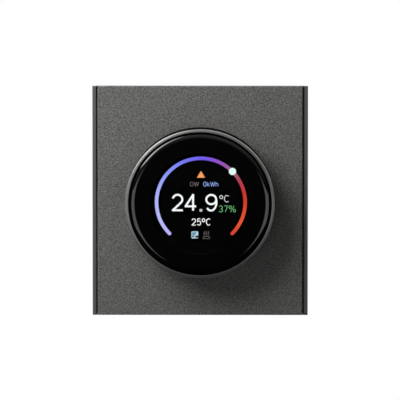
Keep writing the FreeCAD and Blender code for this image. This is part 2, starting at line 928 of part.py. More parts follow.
def cell_place():
    """Where the coin cell lies."""
    across = 2 * (cell_radius + cell_play + cell_ring)
    return board_place((across, across), cell_gaps, 1, -1)


def backup_cell():
    """The coin cell that keeps the clock."""
    x, z = cell_place()
    back = control_front - cell_lift
    return cylinder(cell_radius, back - cell_thickness, back, x, z)


def backup_cell_holder():
    """The holder round the coin cell."""
    x, z = cell_place()
    bore = cell_radius + cell_play
    front = control_front - cell_holder_height
    cup = cylinder(bore + cell_ring, front, control_front, x, z)
    return cup.cut(cylinder(bore, front, control_front - cell_lift, x, z))


def air_sensor():
    """The temperature and humidity sensor behind the bottom vents."""
    z = -board_height / 2 + sensor_gap + sensor_size[1] / 2
    radius, depth = sensor_port
    top = control_front - sensor_size[2]
    return on_board(sensor_size, sensor_place, z).cut(cylinder(radius, top, top + depth, sensor_place, z))


def ribbon_socket():
    """The ribbon's socket on the control board, inside the stem."""
    return on_board(ribbon_socket_size, 0, ribbon_level)


def ribbon_edges(offset):
    """One long side of the ribbon, seen edge-on: straights and tangent arcs, moved sideways by offset."""
    a = math.radians(ribbon_bend)
    start = display_board_back + ribbon_socket_size[2]
    end = control_front - ribbon_socket_size[2]
    rise = 1 - math.cos(a)
    radius = (end - start - 2 * ribbon_lead) / (6 * math.sin(a) + 2 * rise / math.tan(a))
    runs = [(ribbon_lead, 0), (radius, -a), (radius, 2 * a), (2 * radius * rise / math.sin(a), 0),
            (radius, -2 * a), (radius, a), (ribbon_lead, 0)]
    y, z, heading = start, ribbon_level, 0.0
    edges = []
    for size, turn in runs:
        stations = []
        for part in (0, 0.5, 1):
            now = heading + turn * part
            if turn:
                side = math.copysign(size, turn)
                ahead = side * (math.sin(now) - math.sin(heading))
                aside = side * (math.cos(heading) - math.cos(now))
            else:
                ahead = size * part * math.cos(now)
                aside = size * part * math.sin(now)
            stations.append(Vec(-ribbon_width / 2, y + ahead - offset * math.sin(now),
                                z + aside + offset * math.cos(now)))
        edges.append(Part.Arc(*stations).toShape() if turn else Part.makeLine(stations[0], stations[2]))
        y += ahead
        z += aside
        heading += turn
    return edges


def display_ribbon():
    """The flexible ribbon between the two boards, with a slack bend inside the stem."""
    upper = ribbon_edges(ribbon_thickness / 2)
    lower = ribbon_edges(-ribbon_thickness / 2)
    caps = [Part.makeLine(lower[0].Vertexes[0].Point, upper[0].Vertexes[0].Point),
            Part.makeLine(lower[-1].Vertexes[-1].Point, upper[-1].Vertexes[-1].Point)]
    side = Part.Wire(Part.__sortEdges__(upper + lower + caps))
    return Part.Face(side).extrude(Vec(ribbon_width, 0, 0))


def header_places():
    """Where the pins of the board-to-board header stand."""
    found = []
    for row in (-0.5, 0.5):
        for column in range(header_columns):
            x = (column - (header_columns - 1) / 2) * header_pitch
            found.append((x, header_level + row * header_pitch))
    return found


def header_block(y0, y1, hole, y2):
    """A block of the header from y0 to y1, with a square hole for each pin from y0 to y2."""
    body = centred(header_columns * header_pitch, 2 * header_pitch, y0, y1, 0, header_level)
    return body.cut([centred(hole, hole, y0, y2, x, z) for x, z in header_places()])


def header_base():
    """The header's plastic base on the control board's back."""
    return header_block(control_back, header_base_end, header_pin, header_base_end)


def header_pins():
    """The header's square pins."""
    tip = power_board_front - header_pin_tip
    return Part.makeCompound([centred(header_pin, header_pin, control_front, tip, x, z)
                              for x, z in header_places()])


def header_socket():
    """The socket on the power board that the pins plug into."""
    hole = header_pin + 2 * socket_hole_play
    return header_block(plate_front, power_board_front, hole, power_board_front - header_pin_tip / 2)


def flange_screw_places():
    """Where the housing's flange is screwed to the plate."""
    return corners_of(flange_half - flange_screw_inset, flange_half - flange_screw_inset)


def slot(x, z):
    """One slot of the wall plate, long towards the axis."""
    radius = wall_slot_width / 2
    half = wall_slot_length / 2 - radius
    dx, dz = (half, 0) if z == 0 else (0, half)
    width, height = (half, radius) if z == 0 else (radius, half)
    ends = [cylinder(radius, plate_front, 0, x + side * dx, z + side * dz) for side in (-1, 1)]
    return centred(2 * width, 2 * height, plate_front, 0, x, z).fuse(ends)


def mounting_plate():
    """The steel plate screwed to the wall box, with slots for the wall screws."""
    sheet = centred(plate_width, plate_height, plate_front, 0)
    upright = [e for e in sheet.Edges if abs(e.tangentAt(e.FirstParameter).y) > 0.9]
    sheet = sheet.makeFillet(plate_corner, upright)
    removed = [prism(housing_outline(-housing_play), plate_front, 0)]
    removed += [slot(x, z) for x, z in wall_screw_places()]
    removed += [cylinder(snap_bore + snap_bush_shank, plate_front, 0, x, z) for x, z in snap_places()]
    removed += [cylinder(flange_screw_radius, plate_front, 0, x, z) for x, z in flange_screw_places()]
    return sheet.cut(removed).removeSplitter()


def snap_bushes():
    """The four bushes in the plate that grip the frame's snap posts."""
    top = plate_front - snap_bush_height
    found = []
    for x, z in snap_places():
        body = cylinder(snap_bush_radius, top, plate_front, x, z)
        shank = cylinder(snap_bore + snap_bush_shank, plate_front, 0, x, z)
        found.append(body.fuse(shank).cut(cylinder(snap_bore, top, 0, x, z)))
    return Part.makeCompound(found)


def power_posts():
    """Where the posts under the power board stand, with the depth that each reaches."""
    edge = inner_half - power_post_wall_gap - power_post_radius
    low = step_level - power_post_low_gap
    back = housing_depth - housing_wall / 2
    low_back = step_depth - housing_wall / 2
    return [(power_post_top_x, edge, back), (-power_post_top_x, edge, back),
            (edge, low, low_back), (-edge, low, low_back)]


def housing_solid(inset):
    """The stepped body of the rear housing behind the plate, drawn in by inset."""
    whole = prism(housing_outline(inset), plate_front, housing_depth - inset)
    below = block(-housing_half, housing_half, step_depth - inset, housing_depth, -housing_half,
                  step_level + inset)
    return whole.cut(below)


def flange_screw_body(x, z):
    """One flat-head screw of the flange without its slot."""
    rise = flange_screw_head - flange_screw_radius
    cone = Part.makeCone(flange_screw_head, flange_screw_radius, rise, Vec(x, flange_front, z), Vec(0, 1, 0))
    return cone.fuse(cylinder(flange_screw_radius, flange_front + rise, -flange_screw_rest, x, z))


def rear_housing():
    """The moulded box that goes into the wall, with its flange, posts, vents and wire window."""
    body = housing_solid(0).fuse(centred(2 * flange_half, 2 * flange_half, flange_front, plate_front))
    body = body.cut(housing_solid(housing_wall))
    body = body.cut(prism(housing_outline(housing_wall - lid_ledge), flange_front, plate_front))
    body = body.fuse([cylinder(power_post_radius, power_board_back, end, x, z) for x, z, end in power_posts()])
    removed = [cylinder(power_screw_radius, power_board_back, power_board_back + power_screw_grip, x, z)
               for x, z, _ in power_posts()]
    half = terminal_half + terminal_play
    removed.append(block(-half, half, step_depth - housing_wall, step_depth, terminal_low - terminal_play,
                         terminal_top + terminal_play))
    removed.append(block(-terminal_half, terminal_half, cage_middle - wire_window_height / 2,
                         cage_middle + wire_window_height / 2, -housing_half, -inner_half))
    vent_end = housing_depth - rear_vent_edge
    for n in range(rear_vent_count):
        x = (n - (rear_vent_count - 1) / 2) * rear_vent_pitch
        removed.append(centred(rear_vent_width, 2 * housing_wall, vent_end - rear_vent_length, vent_end,
                               x, housing_half))
    removed += [flange_screw_body(x, z) for x, z in flange_screw_places()]
    return body.cut(removed).removeSplitter()


def housing_lid():
    """The insulating lid in the flange, with a slot for the header."""
    sheet = prism(housing_outline(housing_wall - lid_ledge + lid_play), flange_front, plate_front)
    across = header_columns * header_pitch + 2 * header_slot_play
    up = 2 * (header_pitch + header_slot_play)
    return sheet.cut(centred(across, up, flange_front, plate_front, 0, header_level))


def flange_screws():
    """The flat-head screws that hold the housing on the plate."""
    depth = (flange_screw_head - flange_screw_radius) * slot_depth_share
    found = []
    for x, z in flange_screw_places():
        groove = centred(2 * flange_screw_head, screw_slot, flange_front, flange_front + depth, x, z)
        found.append(flange_screw_body(x, z).cut(groove))
    return Part.makeCompound(found)


def power_board():
    """The mains board inside the housing."""
    sheet = prism(housing_outline(housing_wall + power_board_play), power_board_front, power_board_back)
    return sheet.cut([cylinder(power_screw_radius, power_board_front, power_board_back, x, z)
                      for x, z, _ in power_posts()])


def power_board_screws():
    """The screws that hold the power board on the housing's posts."""
    length = power_board_thickness + power_screw_grip
    return Part.makeCompound([pan_screw(power_screw_radius, power_screw_head, length, power_board_front,
                                        1, x, z) for x, z, _ in power_posts()])


def post_foot():
    """The lower edge of the two top posts."""
    return inner_half - power_post_wall_gap - 2 * power_post_radius


def relay_corner():
    """The relay's right-hand top corner on the power board."""
    return -inner_half + relay_wall_gap + relay_size[0], post_foot() - relay_post_gap


def relay():
    """The relay that switches the heating."""
    width, height, depth = relay_size
    right, top = relay_corner()
    return block(right - width, right, power_board_back, power_board_back + depth, top - height, top)


def core_place():
    """The middle of the transformer on the power board."""
    return (relay_corner()[0] + core_relay_gap + core_size[0] / 2,
            post_foot() - core_post_gap - core_size[1] / 2)


def transformer_core():
    """The ferrite core round the winding."""
    width, height, depth = core_size
    x, z = core_place()
    front = power_board_back + core_lift
    middle = width / 2 - core_leg - core_window / 2
    windows = [centred(core_window, height, front + core_window, front + depth - core_window,
                       x + side * middle, z) for side in (-1, 1)]
    return centred(width, height, front, front + depth, x, z).cut(windows)


def transformer_winding():
    """The bobbin and its taped winding, in the core's windows, on two feet."""
    width, height, depth = core_size
    x, z = core_place()
    start = power_board_back + core_lift + core_window + coil_play
    end = power_board_back + core_lift + depth - core_window - coil_play
    across = width - 2 * (core_leg + coil_play)
    reach = height / 2 + coil_reach
    leg = across - 2 * core_window + 4 * coil_play
    coil = centred(across, 2 * reach, start, end, x, z)
    coil = coil.cut(centred(leg, height + 2 * coil_play, start, end, x, z))
    foot = coil_reach - coil_play
    feet = [centred(across, foot, power_board_back, start, x, z + side * (reach - foot / 2)) for side in (-1, 1)]
    return coil.fuse(feet).removeSplitter()


def input_place():
    """The middle of the larger smoothing capacitor."""
    return (inner_half - input_capacitor_wall_gap - input_capacitor_size[0],
            core_place()[1] - input_capacitor_drop)


def input_capacitor():
    """The larger smoothing capacitor."""
    radius, depth = input_capacitor_size
    return cylinder(radius, power_board_back, power_board_back + depth, *input_place())


def output_capacitor():
    """The smaller smoothing capacitor, under the larger one."""
    radius, depth = output_capacitor_size
    x = inner_half - output_capacitor_wall_gap - radius
    z = input_place()[1] - input_capacitor_size[0] - capacitor_gap - radius
    return cylinder(radius, power_board_back, power_board_back + depth, x, z)


def film_place():
    """The film capacitor's middle, under the relay."""
    return (-inner_half + film_wall_gap + film_size[0] / 2,
            relay_corner()[1] - relay_size[1] - film_relay_gap - film_size[1] / 2)


def film_capacitor():
    """The interference-suppression capacitor."""
    width, height, depth = film_size
    return centred(width, height, power_board_back, power_board_back + depth, *film_place())


def lead(x, z, y):
    """One square lead from the power board up to y."""
    return centred(lead_width, lead_width, power_board_back, y, x, z)


def fuse_start():
    """The fuse's left end, beside the film capacitor."""
    return film_place()[0] + film_size[0] / 2 + fuse_film_gap


def fuse_link():
    """The fuse, lying on its two leads."""
    y = power_board_back + fuse_lift
    z = film_place()[1]
    x = fuse_start()
    body = Part.makeCylinder(fuse_radius, fuse_length, Vec(x, y, z), Vec(1, 0, 0))
    return body.fuse([lead(x + lead_inset, z, y), lead(x + fuse_length - lead_inset, z, y)])


def varistor():
    """The disc that clips voltage surges."""
    y = power_board_back + varistor_lift
    x = fuse_start() + fuse_length + varistor_fuse_gap + varistor_radius
    z = film_place()[1]
    start = Vec(x, y, z - varistor_thickness / 2)
    disc = Part.makeCylinder(varistor_radius, varistor_thickness, start, Vec(0, 0, 1))
    return disc.fuse([lead(x + side * varistor_lead_pitch / 2, z, y) for side in (-1, 1)])


def terminal_x(n):
    """The middle of terminal n."""
    return (n - (terminal_count - 1) / 2) * terminal_pitch


def terminal_block():
    """The screw terminal block, with a cage pocket and a screw hole for each wire."""
    body = block(-terminal_half, terminal_half, power_board_back, terminal_back, terminal_low, terminal_top)
    pocket = cage_height / 2 + cage_play
    side = cage_width / 2 + cage_play
    removed = []
    for n in range(terminal_count):
        x = terminal_x(n)
        removed.append(block(x - side, x + side, cage_middle - pocket, cage_middle + pocket, terminal_low,
                             terminal_low + cage_length + 2 * cage_play))
        removed.append(cylinder(terminal_head_radius + terminal_hole_play, cage_middle, terminal_back,
                                x, screw_level))
    return body.cut(removed)


def terminal_cages():
    """The brass cages that clamp the wires."""
    start = terminal_low + cage_play
    w = cage_width / 2
    h = cage_height / 2
    found = []
    for n in range(terminal_count):
        x = terminal_x(n)
        outer = block(x - w, x + w, cage_middle - h, cage_middle + h, start, start + cage_length)
        bore = block(x - w + cage_wall, x + w - cage_wall, cage_middle - h + cage_wall,
                     cage_middle + h - cage_wall, start, start + cage_length)
        tapped = cylinder(terminal_screw_radius + thread_play, cage_middle, cage_middle + h, x, screw_level)
        found.append(outer.cut(bore).cut(tapped))
    return Part.makeCompound(found)


def terminal_screws():
    """The slotted screws over the cages, backed out so that a wire can go in."""
    top = terminal_back - terminal_head_depth
    tip = cage_middle + cage_height / 2 - cage_wall
    depth = terminal_head_height * slot_depth_share
    found = []
    for n in range(terminal_count):
        x = terminal_x(n)
        head = cylinder(terminal_head_radius, top - terminal_head_height, top, x, screw_level)
        shank = cylinder(terminal_screw_radius, tip, top, x, screw_level)
        groove = centred(2 * terminal_head_radius, terminal_slot, top - depth, top, x, screw_level)
        found.append(head.fuse(shank).cut(groove))
    return Part.makeCompound(found)


PIECES = [
    front_panel, panel_tape, face_frame, knob_ring, encoder_ring_gear, rotor_screws, glide_washer,
    cover_lens, lens_adhesive, lcd_panel, backlight_unit, lcd_flex_tail, display_foam, display_board,
    display_chips, display_board_screws, head_carrier, stem_clip, return_springs, encoder_pinion,
    encoder_shaft, encoder_body, press_switch, press_switch_plunger, control_board, control_board_screws,
    wifi_module, wifi_shield, processor, buzzer, backup_cell, backup_cell_holder, air_sensor,
    ribbon_socket, display_ribbon, header_base, header_pins, header_socket, mounting_plate, snap_bushes,
    rear_housing, housing_lid, flange_screws, power_board, power_board_screws, relay, transformer_core,
    transformer_winding, input_capacitor, output_capacitor, film_capacitor, fuse_link, varistor,
    terminal_block, terminal_cages, terminal_screws,
]


def main():
    """Builds every piece and writes it under its own name."""
    os.makedirs("parts", exist_ok=True)
    for make in PIECES:
        shape = make()
        if not shape.isValid() or not shape.Solids:
            raise ValueError(make.__name__ + " is not a valid solid")
        shape.exportStep(os.path.join("parts", make.__name__ + ".step"))
        box = shape.BoundBox
        print("%-22s %2d solids %9.1f mm3  y %6.2f to %6.2f" % (
            make.__name__, len(shape.Solids), shape.Volume, box.YMin, box.YMax))
    print("ring gear %d teeth, pinion %d teeth, %.2f mm apart" % (ring_teeth, pinion_teeth, gear_distance))
    pitch = (shelf_front + spring_pocket - floor_back - spring_wire) / spring_turns
    print("return springs: %.2f mm between their turns" % (pitch - spring_wire))


main()
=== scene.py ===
"""Looks of the wall thermostat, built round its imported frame.

Metres, in the frame's own axes: +X right, +Z up and +Y into the wall. Sizes in the classes are in
millimetres and are turned into metres where the meshes are made.
"""

import json
import logging
import math
from collections.abc import Callable, Iterable, Sequence
from dataclasses import dataclass
from enum import Enum

import bmesh
import bpy
from mathutils import Euler, Matrix, Vector

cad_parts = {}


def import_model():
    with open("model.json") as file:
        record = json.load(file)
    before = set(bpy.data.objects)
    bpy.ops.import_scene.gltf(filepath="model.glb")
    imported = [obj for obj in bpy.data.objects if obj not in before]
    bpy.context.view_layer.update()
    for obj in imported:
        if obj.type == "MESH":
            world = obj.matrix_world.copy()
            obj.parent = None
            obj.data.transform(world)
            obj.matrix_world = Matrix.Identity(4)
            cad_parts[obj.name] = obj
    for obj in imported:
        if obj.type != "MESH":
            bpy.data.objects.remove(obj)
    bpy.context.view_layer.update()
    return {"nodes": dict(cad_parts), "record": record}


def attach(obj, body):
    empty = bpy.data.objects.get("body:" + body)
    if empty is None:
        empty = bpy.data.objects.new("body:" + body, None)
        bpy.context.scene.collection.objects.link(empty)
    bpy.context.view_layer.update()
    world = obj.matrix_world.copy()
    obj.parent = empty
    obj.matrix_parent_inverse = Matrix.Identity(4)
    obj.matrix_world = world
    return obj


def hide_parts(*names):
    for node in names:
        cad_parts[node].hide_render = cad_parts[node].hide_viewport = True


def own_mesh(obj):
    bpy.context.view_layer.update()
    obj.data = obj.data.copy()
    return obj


LOG = logging.getLogger("thermostat")
MM = 0.001
PIXEL = 0.3995  # millimetres for one pixel of the photograph
SHARP_ANGLE = math.radians(32)
QUARTER = math.radians(90)
NOISE_LOW = 0.3  # nearly all of a noise's values lie between these two
NOISE_HIGH = 0.7
MERGE = 1e-7  # metres between points that are one
TOUCHING = 0.01  # pixels between the ends of a stroke that closes
BEND_STEP = 12  # degrees between two points of a bend
FEWEST_STEPS = 6  # steps of the shortest bend
OVERRUN = 0.3  # how far a stroke runs past its corner, in parts of its thickness
BLACK = (0.0, 0.0, 0.0, 1.0)
WHITE = (1.0, 1.0, 1.0, 1.0)

Colour = tuple[float, float, float]
Point = tuple[float, float]
Corner = tuple[float, float, float]
Inputs = dict[str | int, object]
Node = bpy.types.Node
Socket = bpy.types.NodeSocket
Shape = bmesh.types.BMesh
Dressed = tuple[Shape, str]


def linear(red: float, green: float, blue: float) -> Colour:
    """Turns a display colour of 0 to 255 into linear light.

    Args:
        red: Its red level.
        green: Its green level.
        blue: Its blue level.

    Returns:
        The colour in linear light.
    """
    found = []
    for level in (red, green, blue):
        share = level / 255
        found.append(share / 12.92 if share <= 0.04045 else ((share + 0.055) / 1.055) ** 2.4)
    return found[0], found[1], found[2]


def with_alpha(colour: Colour) -> tuple[float, float, float, float]:
    """The colour as a node socket takes it."""
    return (*colour, 1.0)


class Graph:
    """A node tree with short calls that add and join its nodes."""

    def __init__(self, tree: bpy.types.NodeTree) -> None:
        """Takes the tree and clears it.

        Args:
            tree: The node tree of a material, a world or a group.
        """
        self.tree = tree
        tree.nodes.clear()

    def add(self, kind: str, inputs: Inputs | None = None, **settings: object) -> Node:
        """Adds a node.

        Args:
            kind: The node's Blender type, without its ShaderNode start.
            inputs: Sockets or plain values for its inputs.
            settings: Attributes to set on it first.

        Returns:
            The new node.
        """
        prefix = "" if kind.startswith("Node") else "ShaderNode"
        node = self.tree.nodes.new(prefix + kind)
        for name, value in settings.items():
            setattr(node, name, value)
        self.fill(node, inputs or {})
        return node

    def fill(self, node: Node, inputs: Inputs) -> None:
        """Joins a node's inputs to sockets, or writes plain values there.

        Args:
            node: The node.
            inputs: Sockets or plain values by input name or number.
        """
        for name, value in inputs.items():
            if isinstance(value, Socket):
                self.tree.links.new(value, node.inputs[name])
            else:
                node.inputs[name].default_value = value

    def maths(self, operation: str, *values: object) -> Socket:
        """The result of a Math node for sockets or numbers."""
        return self.add("Math", dict(enumerate(values)), operation=operation).outputs[0]

    def spread(self, value: Socket, low: object, high: object,
               start: float = 0.0, end: float = 1.0) -> Socket:
        """Maps a value from start and end to low and high."""
        return self.add("MapRange", dict(enumerate((value, start, end, low, high)))).outputs[0]

    def vary(self, noise: Socket, low: object, high: object) -> Socket:
        """Maps a noise's usual span to low and high."""
        return self.spread(noise, low, high, NOISE_LOW, NOISE_HIGH)

    def tint(self, colour: object, share: object) -> Socket:
        """Makes a colour lighter or darker by a share."""
        return self.add("VectorMath", {0: colour, "Scale": share}, operation="SCALE").outputs[0]

    def blend(self, share: object, first: object, second: object) -> Socket:
        """Mixes two colours by a share."""
        return self.add("Mix", {0: share, 6: first, 7: second}, data_type="RGBA").outputs[2]

    def axes(self, vector: Socket) -> bpy.types.NodeOutputs:
        """The X, Y and Z of a vector."""
        return self.add("SeparateXYZ", {0: vector}).outputs

    def place(self, scale: Corner = (1, 1, 1), turn: Corner = (0, 0, 0)) -> Socket:
        """Object coordinates, scaled and turned."""
        given = self.add("TexCoord").outputs["Object"]
        return self.add("Mapping", {"Scale": scale, "Rotation": turn, "Vector": given}).outputs["Vector"]

    def noise(self, vector: Socket, scale: object, detail: float = 2.0) -> Socket:
        """A noise value over a vector."""
        return self.add("TexNoise", {"Vector": vector, "Scale": scale, "Detail": detail}).outputs["Fac"]

    def mirrored(self, vector: Socket) -> tuple[bpy.types.NodeOutputs, bpy.types.NodeOutputs, Socket]:
        """Nodes that tell mirrored and transmitted rays from the others.

        Args:
            vector: The ray's direction, or the place that it meets.

        Returns:
            The kinds of ray, the vector's axes, and 1 for mirrored and transmitted rays.
        """
        rays = self.add("LightPath").outputs
        either = self.maths("MAXIMUM", rays["Is Glossy Ray"], rays["Is Transmission Ray"])
        return rays, self.axes(vector), either


class Effect(Enum):
    """The surface effects that several finishes share, each a node group."""

    GRAIN = "moulded_grain"
    FLAKES = "metal_flakes"
    TURNED = "turned_lines"
    BRUSHED = "drawn_lines"
    BOARD = "board_tracks"


class EffectGraph(Graph):
    """The inside of an effect's group, with the group's own sockets."""

    GIVEN = {
        Effect.GRAIN: {"Color": (0.5, 0.5, 0.5, 1.0), "Contrast": 0.1, "Scale": 2500.0, "Roughness": 0.5},
        Effect.FLAKES: {"Color": (0.1, 0.1, 0.1, 1.0), "Sparkle": 0.3, "Scale": 2600.0, "Roughness": 0.4},
        Effect.TURNED: {"Color": (0.5, 0.5, 0.5, 1.0), "Contrast": 0.08, "Scale": 5000.0, "Roughness": 0.3},
        Effect.BRUSHED: {"Color": (0.5, 0.5, 0.5, 1.0), "Contrast": 0.1, "Roughness": 0.3},
        Effect.BOARD: {"Mask": (0.02, 0.12, 0.05, 1.0), "Track": (0.04, 0.22, 0.09, 1.0),
                       "Pad": (0.7, 0.68, 0.6, 1.0), "Scale": 260.0},
    }

    def __init__(self, effect: Effect) -> None:
        """Makes the group and its nodes.

        Args:
            effect: The effect.
        """
        super().__init__(bpy.data.node_groups.new(effect.value, "ShaderNodeTree"))
        for name, value in self.GIVEN[effect].items():
            self.socket(name, "INPUT", isinstance(value, tuple)).default_value = value
        for name in ("Color", "Metal" if effect is Effect.BOARD else "Roughness", "Height"):
            self.socket(name, "OUTPUT", name == "Color")
        self.given = self.add("NodeGroupInput").outputs
        makers = {
            Effect.GRAIN: self.grain,
            Effect.FLAKES: self.flakes,
            Effect.TURNED: self.turned,
            Effect.BRUSHED: self.brushed,
            Effect.BOARD: self.board,
        }
        self.add("NodeGroupOutput", makers[effect]())

    def socket(self, name: str, way: str, is_colour: bool) -> bpy.types.NodeTreeInterfaceSocket:
        """Gives the group an input or an output for a colour or a number."""
        kind = "NodeSocketColor" if is_colour else "NodeSocketFloat"
        return self.tree.interface.new_socket(name=name, in_out=way, socket_type=kind)

    def contrast(self, noise: Socket) -> Socket:
        """A share round 1 that a noise moves by the group's contrast."""
        low = self.maths("SUBTRACT", 1.0, self.given["Contrast"])
        return self.vary(noise, low, self.maths("ADD", 1.0, self.given["Contrast"]))

    def surface(self, share: Socket, gloss: Socket, height: Socket) -> Inputs:
        """What a surface effect gives.

        Args:
            share: The share of the given colour.
            gloss: The share of the given roughness.
            height: The height.

        Returns:
            The group's outputs.
        """
        return {"Color": self.tint(self.given["Color"], share),
                "Roughness": self.maths("MULTIPLY", self.given["Roughness"], gloss),
                "Height": height}

    def grain(self) -> Inputs:
        """Fine moulded grain: speckle in colour and gloss, and a slight unevenness over the piece.

        Returns:
            What the group gives.
        """
        vector = self.place()
        fine = self.noise(vector, self.given["Scale"], 3.0)
        drift = self.vary(self.noise(vector, 60.0), 0.97, 1.03)
        share = self.maths("MULTIPLY", self.contrast(fine), drift)
        return self.surface(share, self.vary(fine, 0.88, 1.12), fine)

    def flakes(self) -> Inputs:
        """A textured metallic coat: a coarse grain that also rises, with fine bright flakes in it.

        Returns:
            What the group gives.
        """
        vector = self.place()
        coarse = self.noise(vector, self.given["Scale"], 5.0)
        fine = self.maths("MULTIPLY", self.given["Scale"], 4.0)
        cells = self.add("TexVoronoi", {"Vector": vector, "Scale": fine}, feature="F1")
        parts = self.add("SeparateColor", {"Color": cells.outputs["Color"]}).outputs
        flake = self.maths("POWER", parts["Red"], 8.0)
        bright = self.maths("MULTIPLY", self.maths("SUBTRACT", flake, 0.1), 1.6)
        both = self.maths("ADD", bright, self.vary(coarse, -0.6, 0.6))
        share = self.maths("MULTIPLY_ADD", both, self.given["Sparkle"], 1.0)
        drift = self.vary(self.noise(vector, 45.0), 0.97, 1.03)
        gloss = self.spread(parts["Green"], 0.85, 1.15)
        return self.surface(self.maths("MULTIPLY", share, drift), gloss, coarse)

    def turned(self) -> Inputs:
        """Fine rings left by turning about the Y axis.

        Returns:
            What the group gives.
        """
        spot = self.add("TexCoord").outputs["Object"]
        flat = self.add("VectorMath", {0: spot, 1: (1.0, 0.0, 1.0)}, operation="MULTIPLY").outputs[0]
        radius = self.add("VectorMath", {0: flat}, operation="LENGTH").outputs["Value"]
        across = self.add("CombineXYZ", {"X": radius, "Y": self.axes(spot)["Y"]}).outputs[0]
        lines = self.noise(across, self.given["Scale"])
        return self.surface(self.contrast(lines), self.vary(lines, 0.85, 1.15), lines)

    def brushed(self) -> Inputs:
        """Long fine lines along X, as on drawn or rolled metal.

        Returns:
            What the group gives.
        """
        lines = self.noise(self.place(scale=(120.0, 2600.0, 2600.0)), 1.0, 3.0)
        patches = self.noise(self.place(), 220.0, 3.0)
        share = self.maths("MULTIPLY", self.contrast(lines), self.vary(patches, 0.975, 1.025))
        return self.surface(share, self.vary(patches, 0.97, 1.04), lines)

    def board(self) -> Inputs:
        """Copper tracks and vias under a board's solder mask.

        Returns:
            What the group gives.
        """
        flat = self.place(turn=(QUARTER, 0, 0))
        given = self.given
        tracks = self.add("TexBrick", {
            "Vector": flat, "Scale": given["Scale"], "Color1": given["Mask"], "Color2": given["Track"],
            "Mortar": given["Mask"], "Mortar Size": 0.06, "Brick Width": 1.9, "Row Height": 0.28,
        }, offset=0.5, squash=1.0).outputs
        spacing = self.maths("MULTIPLY", given["Scale"], 1.3)
        vias = self.add("TexVoronoi", {"Vector": flat, "Scale": spacing}, feature="F1")
        dot = self.maths("LESS_THAN", vias.outputs["Distance"], 0.11)
        colour = self.blend(dot, tracks["Color"], given["Pad"])
        return {"Color": colour, "Metal": dot, "Height": tracks["Fac"]}


class Effects:
    """Builds each shared effect once and hands out its group."""

    def __init__(self) -> None:
        """Starts with no group built."""
        self.built: dict[Effect, bpy.types.NodeTree] = {}

    def group(self, effect: Effect) -> bpy.types.NodeTree:
        """Gives an effect's group, building it the first time.

        Args:
            effect: The effect.

        Returns:
            Its node group.
        """
        if effect not in self.built:
            self.built[effect] = EffectGraph(effect).tree
        return self.built[effect]


@dataclass(frozen=True)
class Finish:
    """A surface: an effect's group feeding one Principled shader.

    Attributes:
        name: The record's material slot.
        colour: Its colour in linear light.
        roughness: Its mean roughness.
        metallic: 1 for bare metal.
        effect: The shared effect that gives its detail.
        settings: Values for the effect's own inputs.
        bump: The height of its bumps in millimetres.
        coat: Clear coat over it.
        specular: The shader's specular level.
    """

    name: str
    colour: Colour
    roughness: float = 0.5
    metallic: float = 0.0
    effect: Effect = Effect.GRAIN
    settings: tuple[tuple[str, float], ...] = ()
    bump: float = 0.01
    coat: float = 0.0
    specular: float = 0.5

    def build(self, effects: Effects) -> bpy.types.Material:
        """Makes the material from its shared effect.

        Args:
            effects: The shared effects.

        Returns:
            The material.
        """
        material, graph, shader = fresh_material(self.name)
        inputs = {"Color": with_alpha(self.colour), "Roughness": self.roughness, **dict(self.settings)}
        made = graph.add("Group", inputs, node_tree=effects.group(self.effect)).outputs
        graph.fill(shader, {
            "Base Color": made["Color"], "Roughness": made["Roughness"], "Metallic": self.metallic,
            "Coat Weight": self.coat, "Specular IOR Level": self.specular})
        raise_bumps(graph, shader, made["Height"], self.bump)
        return material


@dataclass(frozen=True)
class BoardFinish:
    """A circuit board's solder mask over its tracks and vias."""

    name: str
    mask: Colour
    track: Colour
    scale: float = 260.0
    roughness: float = 0.32
    bump: float = 0.02

    def build(self, effects: Effects) -> bpy.types.Material:
        """Makes the material from the shared board effect.

        Args:
            effects: The shared effects.

        Returns:
            The material.
        """
        material, graph, shader = fresh_material(self.name)
        inputs = {"Mask": with_alpha(self.mask), "Track": with_alpha(self.track), "Scale": self.scale}
        made = graph.add("Group", inputs, node_tree=effects.group(Effect.BOARD)).outputs
        graph.fill(shader, {"Base Color": made["Color"], "Metallic": made["Metal"],
                            "Roughness": self.roughness})
        raise_bumps(graph, shader, made["Height"], self.bump)
        return material


@dataclass(frozen=True)
class GlassFinish:
    """Clear glass, with a faint uneven tint."""

    name: str
    tint: Colour = (0.97, 0.98, 0.98)

    def build(self, effects: Effects) -> bpy.types.Material:
        """Makes the material.

        Args:
            effects: The shared effects; not used here.

        Returns:
            The material.
        """
        material, graph, shader = fresh_material(self.name)
        cloud = graph.vary(graph.noise(graph.place(), 70.0, 3.0), 0.985, 1.015)
        graph.fill(shader, {"Transmission Weight": 1.0, "IOR": 1.5, "Roughness": 0.0,
                            "Base Color": graph.tint(self.tint, cloud)})
        return material


@dataclass(frozen=True)
class GlowFinish:
    """A lit part of the display's picture in one colour."""

    name: str
    colour: Colour
    strength: float = 1.0

    def build(self, effects: Effects) -> bpy.types.Material:
        """Makes the material, with the display's fine dots in its light.

        Args:
            effects: The shared effects; not used here.

        Returns:
            The material.
        """
        material, graph, shader = fresh_material(self.name)
        dots = graph.vary(graph.noise(graph.place(), 9000.0, 0.0), 0.97, 1.03)
        only_light(graph, shader, graph.tint(self.colour, dots), self.strength)
        return material


